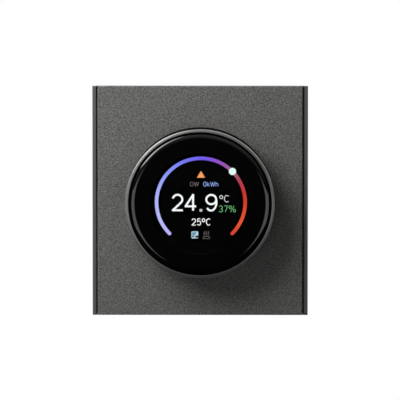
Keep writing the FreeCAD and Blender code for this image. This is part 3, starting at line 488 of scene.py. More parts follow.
@dataclass(frozen=True)
class ArcGlowFinish:
    """The lit arc, whose colour runs round it.

    Attributes:
        name: The material's name.
        stops: Degrees clockwise from the top and the display colour there.
        strength: The light's strength.
    """

    name: str
    stops: tuple[tuple[float, Colour], ...]
    strength: float = 1.0

    def build(self, effects: Effects) -> bpy.types.Material:
        """Makes the material from a radial gradient about the Y axis.

        Args:
            effects: The shared effects; not used here.

        Returns:
            The material.
        """
        material, graph, shader = fresh_material(self.name)
        turned = graph.place(turn=(QUARTER, 0, QUARTER))
        around = graph.add("TexGradient", {"Vector": turned}, gradient_type="RADIAL")
        ramp = graph.add("ValToRGB", {"Fac": around.outputs["Fac"]})
        points = ramp.color_ramp.elements
        while len(points) < len(self.stops):
            points.new(0.5)
        placed = sorted((0.5 + angle / 360, colour) for angle, colour in self.stops)
        for point, (share, colour) in zip(points, placed):
            point.position = share
            point.color = with_alpha(linear(*colour))
        only_light(graph, shader, ramp.outputs["Color"], self.strength)
        return material


def fresh_material(name: str) -> tuple[bpy.types.Material, Graph, Node]:
    """A material with a Principled shader on its output.

    Args:
        name: The material's name.

    Returns:
        The material, its graph and its shader.
    """
    material = bpy.data.materials.new(name)
    material.use_nodes = True
    graph = Graph(material.node_tree)
    shader = graph.add("BsdfPrincipled")
    graph.add("OutputMaterial", {"Surface": shader.outputs[0]})
    return material, graph, shader


def raise_bumps(graph: Graph, shader: Node, height: Socket, size: float) -> None:
    """Feeds a height into the shader's normal.

    Args:
        graph: The material's graph.
        shader: Its shader.
        height: The height from 0 to 1.
        size: What 1 stands for, in millimetres.
    """
    if size <= 0:
        return
    bump = graph.add("Bump", {"Distance": size * MM, "Strength": 1.0, "Height": height})
    graph.fill(shader, {"Normal": bump.outputs["Normal"]})


def only_light(graph: Graph, shader: Node, colour: Socket, strength: float) -> None:
    """Sets a shader that only gives light, of a colour and a strength."""
    graph.fill(shader, {"Base Color": BLACK, "Specular IOR Level": 0.0, "Roughness": 1.0,
                        "Emission Color": colour, "Emission Strength": strength})


class Finishes:
    """All finishes of the thermostat, by slot name."""

    LIST = (
        Finish("anthracite_metal", (0.119, 0.117, 0.111), 0.46, 0.10, Effect.FLAKES,
               (("Sparkle", 1.0), ("Scale", 1700.0)), bump=0.035, specular=0.34),
        Finish("frame_plastic", (0.070, 0.069, 0.067), 0.55,
               settings=(("Contrast", 0.16), ("Scale", 2600.0)), bump=0.014),
        Finish("knob_metal", (0.135, 0.134, 0.130), 0.34, 0.45, Effect.TURNED,
               (("Contrast", 0.08),), bump=0.002),
        Finish("knob_edge", (0.165, 0.165, 0.16), 0.42, 1.0, Effect.TURNED,
               (("Contrast", 0.06),), bump=0.001),
        # knob_skirt: the ring's side, nearly black with its gloss turned off; partly its own dark finish,
        # partly painted shade that keeps the line above the ring dark
        Finish("knob_skirt", (0.006, 0.006, 0.006), 0.60, 0.0, Effect.TURNED,
               (("Contrast", 0.22), ("Scale", 3000.0)), bump=0.004, specular=0.0),
        GlassFinish("cover_glass"),
        Finish("black_print", (0.0015, 0.0015, 0.0015), 0.6, settings=(("Contrast", 0.05),), bump=0.0),
        Finish("printed_glass", (0.0018, 0.0018, 0.0018), 0.055,
               settings=(("Contrast", 0.10), ("Scale", 70.0)), bump=0.0),
        Finish("black_adhesive", (0.004, 0.004, 0.004), 0.7),
        Finish("display_glass", (0.0015, 0.0015, 0.0018), 0.6, settings=(("Contrast", 0.05),), bump=0.0,
               specular=0.02),
        Finish("backlight_tray", (0.62, 0.62, 0.61), 0.35, 1.0, Effect.BRUSHED, bump=0.004),
        Finish("flex_circuit", (0.45, 0.20, 0.04), 0.35, 0.0, Effect.BRUSHED, (("Contrast", 0.25),),
               coat=0.4),
        Finish("foam", (0.012, 0.012, 0.012), 0.95, settings=(("Contrast", 0.5), ("Scale", 1500.0)),
               bump=0.08),
        BoardFinish("circuit_board", (0.010, 0.075, 0.030), (0.020, 0.140, 0.055)),
        Finish("chip_black", (0.018, 0.018, 0.019), 0.55, settings=(("Contrast", 0.2),), bump=0.01),
        Finish("connector_white", (0.70, 0.67, 0.58), 0.45),
        Finish("slippery_plastic", (0.72, 0.71, 0.66), 0.35),
        Finish("gear_plastic", (0.74, 0.72, 0.64), 0.38),
        Finish("steel", (0.55, 0.55, 0.55), 0.32, 1.0, Effect.BRUSHED, bump=0.004),
        Finish("tinned_steel", (0.62, 0.62, 0.60), 0.38, 1.0, Effect.BRUSHED, bump=0.004),
        Finish("plate_steel", (0.50, 0.50, 0.50), 0.50, 1.0, Effect.BRUSHED, (("Contrast", 0.12),),
               bump=0.0015),
        Finish("spring_steel", (0.32, 0.32, 0.33), 0.30, 1.0, Effect.BRUSHED, bump=0.002),
        Finish("brass", (0.58, 0.38, 0.12), 0.32, 1.0, Effect.BRUSHED, bump=0.004),
        Finish("housing_plastic", (0.70, 0.70, 0.67), 0.50,
               settings=(("Contrast", 0.05), ("Scale", 3200.0)), bump=0.02),
        Finish("insulating_sheet", (0.02, 0.02, 0.02), 0.45, bump=0.01),
        Finish("adhesive_tape", (0.75, 0.75, 0.73), 0.6),
        Finish("relay_case", (0.008, 0.045, 0.17), 0.35),
        Finish("ferrite", (0.035, 0.035, 0.036), 0.5, 0.4, Effect.GRAIN, (("Contrast", 0.35),), bump=0.02),
        Finish("winding_tape", (0.62, 0.40, 0.03), 0.25, coat=0.5),
        Finish("capacitor_sleeve", (0.015, 0.018, 0.040), 0.22, coat=0.4),
        Finish("film_capacitor_case", (0.58, 0.36, 0.03), 0.5),
        GlassFinish("fuse_glass"),
        Finish("varistor_coat", (0.010, 0.050, 0.26), 0.38, bump=0.03),
        Finish("terminal_plastic", (0.020, 0.17, 0.055), 0.42),
        Finish("solder", (0.62, 0.62, 0.61), 0.28, 1.0, Effect.GRAIN, (("Contrast", 0.12),), bump=0.01),
        Finish("ceramic_brown", (0.28, 0.17, 0.09), 0.45),
    )

    def __init__(self) -> None:
        """Builds every finish."""
        self.effects = Effects()
        self.materials = {finish.name: finish.build(self.effects) for finish in self.LIST}

    def add(self, finish: GlowFinish | ArcGlowFinish) -> str:
        """Builds one more finish and gives its name."""
        self.materials[finish.name] = finish.build(self.effects)
        return finish.name

    def __getitem__(self, name: str) -> bpy.types.Material:
        """The material of a slot."""
        return self.materials[name]


def lathe(profile: Sequence[Point], segments: int, closed: bool = True) -> Shape:
    """Spins a profile about the Y axis.

    Args:
        profile: (radius, y) points in millimetres.
        segments: Steps of the full turn.
        closed: Whether the profile's last point joins its first.

    Returns:
        The turned mesh.
    """
    bm = bmesh.new()
    points = [bm.verts.new((r * MM, y * MM, 0.0)) for r, y in profile]
    pairs = list(zip(points, points[1:]))
    if closed:
        pairs.append((points[-1], points[0]))
    edges = [bm.edges.new(pair) for pair in pairs]
    bmesh.ops.spin(bm, geom=points + edges, cent=(0, 0, 0), axis=(0, 1, 0), angle=math.tau, steps=segments,
                   use_merge=True)
    bmesh.ops.remove_doubles(bm, verts=bm.verts, dist=MERGE)
    bmesh.ops.recalc_face_normals(bm, faces=bm.faces)
    return bm


def block(low: Corner, high: Corner, bevel: float = 0.0, segments: int = 2) -> Shape:
    """A box between two corners in millimetres, its edges rounded.

    Args:
        low: The lowest corner.
        high: The highest corner.
        bevel: The rounding in millimetres.
        segments: Faces across the rounding.

    Returns:
        The mesh.
    """
    bm = bmesh.new()
    bmesh.ops.create_cube(bm, size=MM)
    size = [b - a for a, b in zip(low, high)]
    middle = [(a + b) / 2 * MM for a, b in zip(low, high)]
    bmesh.ops.scale(bm, vec=size, verts=bm.verts)
    bmesh.ops.translate(bm, vec=middle, verts=bm.verts)
    if bevel:
        bmesh.ops.bevel(bm, geom=bm.edges[:], offset=bevel * MM, segments=segments, affect="EDGES",
                        profile=0.5, material=-1)
    return bm


def disc(radius: float, y0: float, y1: float, x: float = 0.0, z: float = 0.0,
         segments: int = 48, front_radius: float | None = None) -> Shape:
    """A short round bar or cone along Y, in millimetres.

    Args:
        radius: Its radius.
        y0: Its front.
        y1: Its back.
        x: Its axis along X.
        z: Its axis along Z.
        segments: Sides.
        front_radius: Its radius at the front, where that differs.

    Returns:
        The mesh.
    """
    bm = bmesh.new()
    front = radius if front_radius is None else front_radius
    bmesh.ops.create_cone(bm, cap_ends=True, segments=segments, radius1=radius * MM, radius2=front * MM,
                          depth=(y1 - y0) * MM)
    bmesh.ops.rotate(bm, cent=(0, 0, 0), matrix=Matrix.Rotation(QUARTER, 3, "X"), verts=bm.verts)
    bmesh.ops.translate(bm, vec=(x * MM, (y0 + y1) / 2 * MM, z * MM), verts=bm.verts)
    return bm


def new_object(name: str, data: bpy.types.ID) -> bpy.types.Object:
    """Makes an object of its data, in the scene.

    Args:
        name: Its name.
        data: Its mesh, curve, lamp or camera.

    Returns:
        The object.
    """
    made = bpy.data.objects.new(name, data)
    bpy.context.scene.collection.objects.link(made)
    return made


def facing(spot: Vector, aim: Vector) -> Euler:
    """The turn of a lamp or a camera at a spot that looks at an aim."""
    return (aim - spot).to_track_quat("-Z", "Y").to_euler()


class Piece:
    """One mesh object in the making, put together from shapes that each have a finish."""

    def __init__(self, name: str, finishes: Finishes) -> None:
        """Starts an empty piece.

        Args:
            name: The object's name.
            finishes: The finishes to choose from.
        """
        self.name = name
        self.finishes = finishes
        self.mesh = bmesh.new()
        self.used: list[str] = []

    def index(self, finish: str) -> int:
        """The piece's material index for a finish.

        Args:
            finish: The finish.

        Returns:
            Its index.
        """
        if finish not in self.used:
            self.used.append(finish)
        return self.used.index(finish)

    def add(self, shape: Shape, finish: str, smooth: bool = True) -> None:
        """Adds a shape, all in one finish.

        Args:
            shape: The shape, which is used up.
            finish: Its finish.
            smooth: Whether its gentle edges are shaded smooth.
        """
        number = self.index(finish)
        for face in shape.faces:
            face.material_index = number
            face.smooth = smooth
        self.take(shape)

    def take(self, shape: Shape) -> None:
        """Adds a shape whose faces have their finish already.

        Args:
            shape: The shape, which is used up.
        """
        store = bpy.data.meshes.new("shape")
        shape.to_mesh(store)
        shape.free()
        self.mesh.from_mesh(store)
        bpy.data.meshes.remove(store)

    def add_sorted(self, shape: Shape, choose: Callable[[float, float], str]) -> None:
        """Adds a turned shape whose faces differ in finish.

        Args:
            shape: The shape, which is used up.
            choose: Gives the finish for a face's distance from the Y axis and its Y, in metres.
        """
        for face in shape.faces:
            middle = face.calc_center_median()
            face.material_index = self.index(choose(math.hypot(middle.x, middle.z), middle.y))
            face.smooth = True
        self.take(shape)

    def done(self, body: str, slot: str, replaces: Iterable[str] = ()) -> bpy.types.Object:
        """Turns the piece into an object that rides on a body.

        Args:
            body: The CAD body.
            slot: The record's material slot; not used here.
            replaces: The CAD nodes that it stands for.

        Returns:
            The object.
        """
        data = bpy.data.meshes.new(self.name)
        self.mesh.to_mesh(data)
        self.mesh.free()
        data.set_sharp_from_angle(angle=SHARP_ANGLE)
        for finish in self.used:
            data.materials.append(self.finishes[finish])
        piece = new_object(self.name, data)
        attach(piece, body)
        nodes = list(replaces)
        if nodes:
            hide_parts(*nodes)
        LOG.info("%s: %d faces on %s", self.name, len(data.polygons), body)
        return piece


def make(name: str, body: str, slot: str, finishes: Finishes, shapes: Iterable[Dressed],
         smooth: bool = True, replaces: Sequence[str] = ()) -> bpy.types.Object:
    """Makes a whole piece at once.

    Args:
        name: The object's name.
        body: The CAD body that it rides on.
        slot: The record's material slot.
        finishes: The finishes to choose from.
        shapes: Its shapes, each with its finish.
        smooth: Whether gentle edges are shaded smooth.
        replaces: The CAD nodes that it stands for.

    Returns:
        The object.
    """
    piece = Piece(name, finishes)
    for shape, finish in shapes:
        piece.add(shape, finish, smooth)
    return piece.done(body, slot, replaces)


def dressed(finish: str, shapes: Iterable[Shape]) -> list[Dressed]:
    """Gives shapes one finish."""
    return [(shape, finish) for shape in shapes]


@dataclass
class Knob:
    """The turning ring round the fixed cover glass."""

    finishes: Finishes
    radius: float = 29.72
    base_radius: float = 29.55
    front: float = -22.5
    base: float = -11.3
    bore: float = 28.6
    chamfer_start: float = 29.44
    face_slope: float = 0.12
    face_round: float = 0.17
    side_start: float = -21.80
    pocket: float = 28.5
    pocket_front: float = -12.4
    bearing: float = 26.68
    shoulder: float = -18.8
    foot: float = 0.15
    seam: float = 0.05
    face_steps: int = 12
    chamfer: tuple[Point, ...] = ((0.12, 0.07), (0.5, 0.42), (0.88, 0.84), (1.0, 1.10))
    segments: int = 256

    def face(self) -> list[Point]:
        """The front face, which slopes gently from the bore to the polished chamfer at its edge.

        Returns:
            (radius, y) points in millimetres.
        """
        found = []
        width = self.chamfer_start - self.bore
        for n in range(self.face_steps + 1):
            share = n / self.face_steps
            drop = self.face_slope * share + self.face_round * share ** 2
            found.append((self.bore + width * share, self.front + width * drop))
        end = found[-1][1]
        across = self.radius - self.chamfer_start
        for share, fall in self.chamfer:
            found.append((self.chamfer_start + across * share, end + across * fall))
        return found

    def build(self) -> None:
        """Makes the ring in place of its CAD node."""
        slope = (self.radius - self.base_radius) / (self.base - self.front)
        start = self.side_start - self.front
        profile = self.face()
        profile += [(self.radius - slope * start, self.side_start),
                    (self.base_radius + slope * self.foot, self.base - self.foot),
                    (self.base_radius - self.foot, self.base),
                    (self.pocket, self.base), (self.pocket, self.pocket_front),
                    (self.bearing, self.pocket_front), (self.bearing, self.shoulder),
                    (self.bore, self.shoulder)]
        piece = Piece("ring_shell", self.finishes)
        piece.add_sorted(lathe(profile, self.segments), self.finish_at)
        piece.done("turning_ring", "knob_metal", ["knob_ring"])

    def finish_at(self, radius: float, y: float) -> str:
        """The finish of a face by its middle.

        Args:
            radius: Its distance from the Y axis in metres.
            y: Its Y in metres.

        Returns:
            The finish.
        """
        # Faces behind the seam get the near-black, glossless skirt: partly the ring's own dark side, partly
        # painted shade for the dark line above the ring
        if y > (self.side_start + self.seam) * MM:
            return "knob_skirt"
        return "knob_edge" if radius > self.chamfer_start * MM else "knob_metal"


@dataclass
class GrooveEnds:
    """The small stops that close the grooves beside the panel at their ends."""

    finishes: Finishes
    inner: float = 40.97
    outer: float = 41.58
    front: float = -10.2
    back: float = -8.92
    end: float = 45.98
    length: float = 0.55
    rounding: float = 0.06

    def build(self) -> None:
        """Makes the four stops on the front unit."""
        piece = Piece("groove_stops", self.finishes)
        for side in (-1, 1):
            for way in (-1, 1):
                spans = [sorted((side * self.inner, side * self.outer)),
                         [self.front, self.back],
                         sorted((way * (self.end - self.length), way * self.end))]
                low, high = zip(*spans)
                piece.add(block(low, high, self.rounding), "frame_plastic")
        piece.done("front_unit", "frame_plastic")


@dataclass
class CoverGlass:
    """The round cover glass with its curved edge and the black print on its back."""

    finishes: Finishes
    radius: float = 28.25
    flat_radius: float = 25.85
    front: float = -22.2
    back: float = -20.4
    drop: float = 0.9
    window: float = 20.1
    back_edge: float = 0.1
    margin: float = 0.01
    arc_steps: int = 12
    segments: int = 192

    def edge(self) -> list[Point]:
        """The curve from the flat front down to the rim.

        Returns:
            (radius, y) points in millimetres.
        """
        width = self.radius - self.flat_radius
        sweep = (width ** 2 + self.drop ** 2) / (2 * self.drop)
        full = math.asin(width / sweep)
        found = []
        for n in range(self.arc_steps + 1):
            angle = full * n / self.arc_steps
            found.append((self.flat_radius + sweep * math.sin(angle),
                          self.front + sweep * (1 - math.cos(angle))))
        return found

    def build(self) -> None:
        """Makes the glass in place of its CAD node."""
        profile = [(0.0, self.front), (self.window, self.front), *self.edge(),
                   (self.radius, self.back + self.back_edge),
                   (self.radius - self.back_edge, self.back), (self.window, self.back), (0.0, self.back)]
        piece = Piece("cover_glass", self.finishes)
        piece.add_sorted(lathe(profile, self.segments, closed=False), self.finish_at)
        piece.done("display_head", "cover_glass", ["cover_lens"])

    def finish_at(self, radius: float, y: float) -> str:
        """The finish of a face by its middle.

        Args:
            radius: Its distance from the Y axis in metres.
            y: Its Y in metres.

        Returns:
            The finish.
        """
        if radius <= (self.window - self.margin) * MM:
            return "cover_glass"
        return "black_print" if y > (self.back - self.margin) * MM else "printed_glass"


@dataclass(frozen=True)
class Bend:
    """Part of an ellipse in a letter's stroke, in parts of the letter's height.

    Attributes:
        x: Its centre from the letter's left.
        y: Its centre from the letter's foot.
        across: Its half width.
        up: Its half height.
        start: Degrees where it starts, anticlockwise from the right.
        end: Degrees where it ends.
    """

    x: float
    y: float
    across: float
    up: float
    start: float
    end: float

    def points(self) -> list[Point]:
        """Points along it.

        Returns:
            The points in parts of the letter's height.
        """
        steps = max(FEWEST_STEPS, round(abs(self.end - self.start) / BEND_STEP))
        found = []
        for n in range(steps + 1):
            angle = math.radians(self.start + (self.end - self.start) * n / steps)
            found.append((self.x + self.across * math.cos(angle), self.y + self.up * math.sin(angle)))
        return found


@dataclass(frozen=True)
class Letter:
    """A plain letter or number drawn with strokes of one thickness.

    Attributes:
        width: Its width in parts of its height.
        strokes: Its strokes, each of points and bends.
    """

    width: float
    strokes: tuple[tuple[Point | Bend, ...], ...]

    def lines(self) -> list[list[Point]]:
        """Each stroke as a list of points.

        Returns:
            The strokes in parts of the letter's height.
        """
        found = []
        for stroke in self.strokes:
            line: list[Point] = []
            for item in stroke:
                line.extend(item.points() if isinstance(item, Bend) else [item])
            found.append(line)
        return found


LETTERS = {
    "0": Letter(0.60, ((Bend(0.30, 0.50, 0.30, 0.50, 90, 450),),)),
    "2": Letter(0.62, ((Bend(0.305, 0.70, 0.285, 0.30, 168, -36), (0.02, 0.0), (0.62, 0.0)),)),
    "3": Letter(0.58, ((Bend(0.28, 0.75, 0.26, 0.25, 155, -90),), (Bend(0.28, 0.25, 0.30, 0.25, 90, -155),))),
    "4": Letter(0.68, (((0.485, 0.0), (0.485, 1.0), (0.0, 0.27), (0.68, 0.27)),)),
    "5": Letter(0.58, (((0.53, 1.0), (0.11, 1.0), (0.06, 0.53), Bend(0.28, 0.32, 0.30, 0.32, 128, -150)),)),
    "7": Letter(0.58, (((0.0, 1.0), (0.58, 1.0), (0.20, 0.0)),)),
    "9": Letter(0.62, ((Bend(0.313, 0.70, 0.303, 0.295, 0, 360),),
                       (Bend(0.30, 0.53, 0.335, 0.53, 20, -136),))),
    "C": Letter(0.68, ((Bend(0.37, 0.50, 0.37, 0.50, 50, 310),),)),
    "°": Letter(0.46, ((Bend(0.23, 0.76, 0.23, 0.24, 90, 450),),)),
    "W": Letter(0.96, (((0.0, 1.0), (0.24, 0.0), (0.48, 0.95), (0.72, 0.0), (0.96, 1.0)),)),
    "k": Letter(0.48, (((0.0, 1.0), (0.0, 0.0)), ((0.44, 0.68), (0.0, 0.26)), ((0.16, 0.42), (0.48, 0.0)))),
    "h": Letter(0.48, (((0.0, 1.0), (0.0, 0.0)),
                       ((0.0, 0.42), Bend(0.24, 0.44, 0.24, 0.25, 175, 5), (0.48, 0.0)))),
    "%": Letter(1.06, ((Bend(0.19, 0.77, 0.19, 0.23, 90, 450),), (Bend(0.87, 0.23, 0.19, 0.23, 90, 450),),
                       ((0.80, 1.0), (0.26, 0.0)))),
}


@dataclass(frozen=True)
class Word:
    """Plain numbers or a unit on the display.

    Attributes:
        name: The piece's name.
        text: What it says.
        box: Its left, top, right and bottom in the photograph's pixels.
        colour: Its display colour.
        weight: Its strokes' thickness in the photograph's pixels.
    """

    name: str
    text: str
    box: tuple[float, float, float, float]
    colour: Colour
    weight: float

    def lines(self, gap: float = 0.24) -> list[list[Point]]:
        """Its strokes in the photograph's pixels.

        Args:
            gap: The space between letters in parts of their height.

        Returns:
            Each stroke's points.
        """
        half = self.weight / 2
        left, top = self.box[0] + half, self.box[1] + half
        right, bottom = self.box[2] - half, self.box[3] - half
        total = sum(LETTERS[sign].width for sign in self.text) + gap * (len(self.text) - 1)
        wide = (right - left) / total
        tall = bottom - top
        found = []
        start = 0.0
        for sign in self.text:
            for line in LETTERS[sign].lines():
                found.extend(self.parted([(left + (start + x) * wide, bottom - y * tall) for x, y in line]))
            start += LETTERS[sign].width + gap
        return found

    def parted(self, line: list[Point], sharpest: float = 40.0) -> list[list[Point]]:
        """Parts a stroke at its sharp corners, each part running a little past the corner.

        Args:
            line: The stroke's points.
            sharpest: The largest turn in degrees that stays inside one part.

        Returns:
            The parts.
        """
        parts = [[line[0]]]
        for before, spot, after in zip(line, line[1:], line[2:]):
            parts[-1].append(spot)
            first = math.atan2(spot[1] - before[1], spot[0] - before[0])
            second = math.atan2(after[1] - spot[1], after[0] - spot[0])
            turn = abs(math.degrees(math.remainder(second - first, math.tau)))
            if turn > sharpest:
                past = self.weight * OVERRUN
                parts[-1][-1] = (spot[0] + past * math.cos(first), spot[1] + past * math.sin(first))
                parts.append([(spot[0] - past * math.cos(second), spot[1] - past * math.sin(second))])
        parts[-1].append(line[-1])
        return parts


@dataclass(frozen=True)
class Plate:
    """A thin flat lit shape with rounded corners, in the photograph's pixels.

    Attributes:
        light: Its finish's name.
        colour: Its display colour.
        round_off: The rounding of its corners.
        corners: Its corners, clockwise.
        rise: Its thickness in parts of the picture's.
    """

    light: str
    colour: Colour
    round_off: float
    corners: tuple[Point, ...]
    rise: float = 1.0


def rectangle(left: float, top: float, right: float, bottom: float) -> tuple[Point, ...]:
    """The corners of an upright rectangle, clockwise."""
    return (left, top), (right, top), (right, bottom), (left, bottom)


MARKS = {
    "reading_point": (
        Plate("reading_point_light", (186, 190, 190), 0.7, rectangle(199.4, 209.1, 202.3, 211.7)),
    ),
    "triangle": (
        Plate("triangle_light", (243, 158, 96), 0.5, ((200.90, 171.0), (204.95, 177.9), (196.75, 177.9))),
    ),
    "left_icon": (
        Plate("left_icon_light", (172, 202, 212), 1.3, rectangle(191.25, 231.4, 198.15, 238.55)),
        Plate("left_icon_field", (92, 134, 166), 0.5, rectangle(192.2, 232.4, 196.8, 235.2), 1.3),
        Plate("left_icon_patch", (186, 224, 242), 0.4, rectangle(195.3, 233.4, 197.4, 235.1), 1.6),
        Plate("left_icon_glint", (226, 244, 250), 0.3, rectangle(196.9, 231.9, 197.8, 232.8), 1.6),
        Plate("left_icon_bar", (10, 34, 54), 0.3,
              ((191.8, 235.8), (194.2, 235.7), (194.0, 237.0), (191.9, 237.1)), 1.9),
        Plate("left_icon_notch", (5, 20, 32), 0.3,
              ((194.8, 236.0), (198.5, 235.6), (198.5, 236.9), (197.1, 238.1), (196.0, 237.7)), 1.9),
    ),
}


@dataclass
class Picture:
    """What the display shows, as thin lit pieces on the front of its cell."""

    finishes: Finishes
    centre: Point = (199.86, 203.58)
    pixel: Point = (0.3978, 0.4008)
    cell_front: float = -20.1
    thickness: float = 0.06
    brightness: float = 1.10
    arc_middle: Point = (200.77, 202.53)
    arc_radius: float = 17.62
    arc_width: float = 1.38
    arc_reach: float = 135.0
    arc_steps: int = 120
    dot_angle: float = 45.4
    dot_radius: float = 1.44
    dot_rise: float = 1.8
    dot_colour: Colour = (224, 252, 244)
    cap_drop: float = 0.005
    words: tuple[Word, ...] = (
        Word("reading_two", "2", (171.4, 194.0, 183.7, 211.4), (245, 250, 250), 1.9),
        Word("reading_four", "4", (184.5, 194.0, 197.0, 211.7), (245, 250, 250), 1.9),
        Word("reading_nine", "9", (205.1, 194.0, 217.1, 211.7), (245, 250, 250), 1.9),
        Word("reading_unit", "°C", (219.3, 195.4, 229.2, 202.4), (255, 255, 255), 0.50),
        Word("humidity", "37%", (218.8, 205.8, 235.6, 212.3), (142, 240, 150), 0.34),
        Word("set_value", "25°C", (191.4, 218.5, 210.8, 225.6), (255, 255, 255), 0.76),
        Word("power_now", "0W", (190.0, 182.0, 198.7, 186.6), (142, 130, 130), 0.30),
        Word("energy_used", "0kWh", (203.1, 181.9, 218.2, 186.7), (160, 190, 255), 0.42),
    )
    arc_stops: tuple[tuple[float, Colour], ...] = (
        (-135.0, (184, 178, 246)),
        (-110.0, (184, 186, 247)),
        (-75.0, (168, 174, 246)),
        (-50.0, (140, 150, 242)),
        (-25.0, (119, 125, 241)),
        (-6.0, (114, 104, 239)),
        (8.0, (116, 86, 226)),
        (20.0, (138, 80, 206)),
        (38.0, (154, 90, 150)),
        (50.0, (150, 100, 122)),
        (60.0, (178, 62, 82)),
        (75.0, (194, 54, 50)),
        (95.0, (214, 68, 46)),
        (115.0, (230, 86, 50)),
        (135.0, (206, 66, 50)),
    )

    def at(self, x: float, y: float) -> Point:
        """A pixel of the photograph as (x, z) millimetres on the cell."""
        return (x - self.centre[0]) * self.pixel[0], (self.centre[1] - y) * self.pixel[1]

    def on_arc(self, degrees: float, side: int = 1) -> Point:
        """The arc's middle line at an angle from the top, as (x, z) millimetres.

        Args:
            degrees: The angle.
            side: 1 to the right of the top, -1 to its left.

        Returns:
            The place.
        """
        angle = math.radians(degrees)
        middle = self.at(*self.arc_middle)
        across = side * self.arc_radius * math.sin(angle)
        return middle[0] + across, middle[1] + self.arc_radius * math.cos(angle)

    def glow(self, name: str, colour: Colour) -> str:
        """Makes a lit finish and gives its name."""
        return self.finishes.add(GlowFinish(name, linear(*colour), self.brightness))

    def lit(self, name: str, shapes: Iterable[Dressed]) -> None:
        """Puts a lit piece on the display's body."""
        make("picture_" + name, "display_head", "display_glass", self.finishes, shapes, smooth=False)

    def arc(self) -> None:
        """The long arc with its round ends."""
        light = self.finishes.add(ArcGlowFinish("arc_light", self.arc_stops, self.brightness))
        front = (self.cell_front - self.thickness) * MM
        back = self.cell_front * MM
        half = self.arc_width / 2
        middle = self.at(*self.arc_middle)
        start = math.radians(self.arc_reach)
        bm = bmesh.new()
        radii = ((self.arc_radius - half) * MM, (self.arc_radius + half) * MM)
        corners = [bm.verts.new((r, y, 0.0)) for r, y in
                   ((radii[0], front), (radii[1], front), (radii[1], back), (radii[0], back))]
        face = bm.faces.new(corners)
        bmesh.ops.rotate(bm, cent=(0, 0, 0), matrix=Matrix.Rotation(start - math.pi / 2, 3, "Y"),
                         verts=bm.verts)
        bmesh.ops.spin(bm, geom=[face], cent=(0, 0, 0), axis=(0, 1, 0), angle=-2 * start,
                       steps=self.arc_steps)
        bmesh.ops.remove_doubles(bm, verts=bm.verts, dist=MERGE)
        bmesh.ops.recalc_face_normals(bm, faces=bm.faces)
        bmesh.ops.translate(bm, vec=(middle[0] * MM, 0.0, middle[1] * MM), verts=bm.verts)
        caps = [disc(half, self.cell_front - self.thickness + self.cap_drop, self.cell_front,
                     *self.on_arc(self.arc_reach, side)) for side in (-1, 1)]
        self.lit("arc", dressed(light, [bm, *caps]))

    def dot(self) -> None:
        """The round mark on the arc."""
        shape = disc(self.dot_radius, self.cell_front - self.thickness * self.dot_rise, self.cell_front,
                     *self.on_arc(self.dot_angle))
        self.lit("dot", [(shape, self.glow("dot_light", self.dot_colour))])

    def lettering(self, word: Word) -> None:
        """Sets a word in strokes that fill its box.

        Args:
            word: The word.
        """
        shapes = []
        for line in word.lines():
            around = math.dist(line[0], line[-1]) < TOUCHING
            shapes.append(self.stroke(line[:-1] if around else line, word.weight, closed=around))
        self.lit(word.name, dressed(self.glow(word.name + "_light", word.colour), shapes))

    def stroke(self, points: Sequence[Point], width: float, closed: bool = False) -> Shape:
        """A thin flattened line through pixels of the photograph.

        Args:
            points: The pixels.
            width: The line's width in pixels.
            closed: Whether the line closes.

        Returns:
            The mesh.
        """
        curve = bpy.data.curves.new("stroke", "CURVE")
        curve.dimensions = "3D"
        curve.bevel_depth = width * PIXEL * MM / 2
        curve.bevel_resolution = 2
        curve.use_fill_caps = True
        spline = curve.splines.new("POLY")
        spline.points.add(len(points) - 1)
        spline.use_cyclic_u = closed
        for spot, (x, y) in zip(spline.points, points):
            across, up = self.at(x, y)
            spot.co = (across * MM, 0.0, up * MM, 1.0)
        holder = new_object("holder", curve)
        bpy.context.view_layer.update()
        mesh = bpy.data.meshes.new_from_object(holder.evaluated_get(bpy.context.evaluated_depsgraph_get()))
        bpy.data.objects.remove(holder)
        bpy.data.curves.remove(curve)
        bm = bmesh.new()
        bm.from_mesh(mesh)
        bpy.data.meshes.remove(mesh)
        flat = self.thickness / (width * PIXEL)
        bmesh.ops.scale(bm, vec=(1.0, flat, 1.0), verts=bm.verts)
        bmesh.ops.translate(bm, vec=(0.0, (self.cell_front - self.thickness / 2) * MM, 0.0), verts=bm.verts)
        return bm

    def plate(self, plate: Plate) -> Shape:
        """A thin flat shape with rounded corners.

        Args:
            plate: What it is to be.

        Returns:
            The mesh.
        """
        bm = bmesh.new()
        corners = []
        for x, y in plate.corners:
            across, up = self.at(x, y)
            corners.append(bm.verts.new((across * MM, self.cell_front * MM, up * MM)))
        bm.faces.new(corners)
        bmesh.ops.bevel(bm, geom=corners, offset=plate.round_off * PIXEL * MM, segments=4, affect="VERTICES",
                        profile=0.5, material=-1)
        grown = bmesh.ops.extrude_face_region(bm, geom=bm.faces[:])
        fresh = [item for item in grown["geom"] if isinstance(item, bmesh.types.BMVert)]
        bmesh.ops.translate(bm, vec=(0.0, -self.thickness * plate.rise * MM, 0.0), verts=fresh)
        bmesh.ops.recalc_face_normals(bm, faces=bm.faces)
        return bm

    def right_icon(self) -> None:
        """The grey pan with three rising waves."""
        shapes = []
        for x in (204.1, 206.2, 208.3):
            wave = [(x + 0.45 * math.sin(n * math.pi / 3), 231.5 + 0.58 * n) for n in range(7)]
            shapes.append(self.stroke(wave, 0.5))
        pan = [(204.1, 236.4), (208.6, 236.4), (209.4, 237.6), (209.3, 238.7), (203.3, 238.7), (203.2, 237.6)]
        shapes.append(self.stroke(pan, 0.55, closed=True))
        self.lit("right_icon", dressed(self.glow("right_icon_light", (118, 112, 110)), shapes))

    def build(self) -> None:
        """Makes every part of the picture."""
        self.arc()
        self.dot()
        for word in self.words:
            self.lettering(word)
        for name, plates in MARKS.items():
            self.lit(name, [(self.plate(plate), self.glow(plate.light, plate.colour)) for plate in plates])
        self.right_icon()


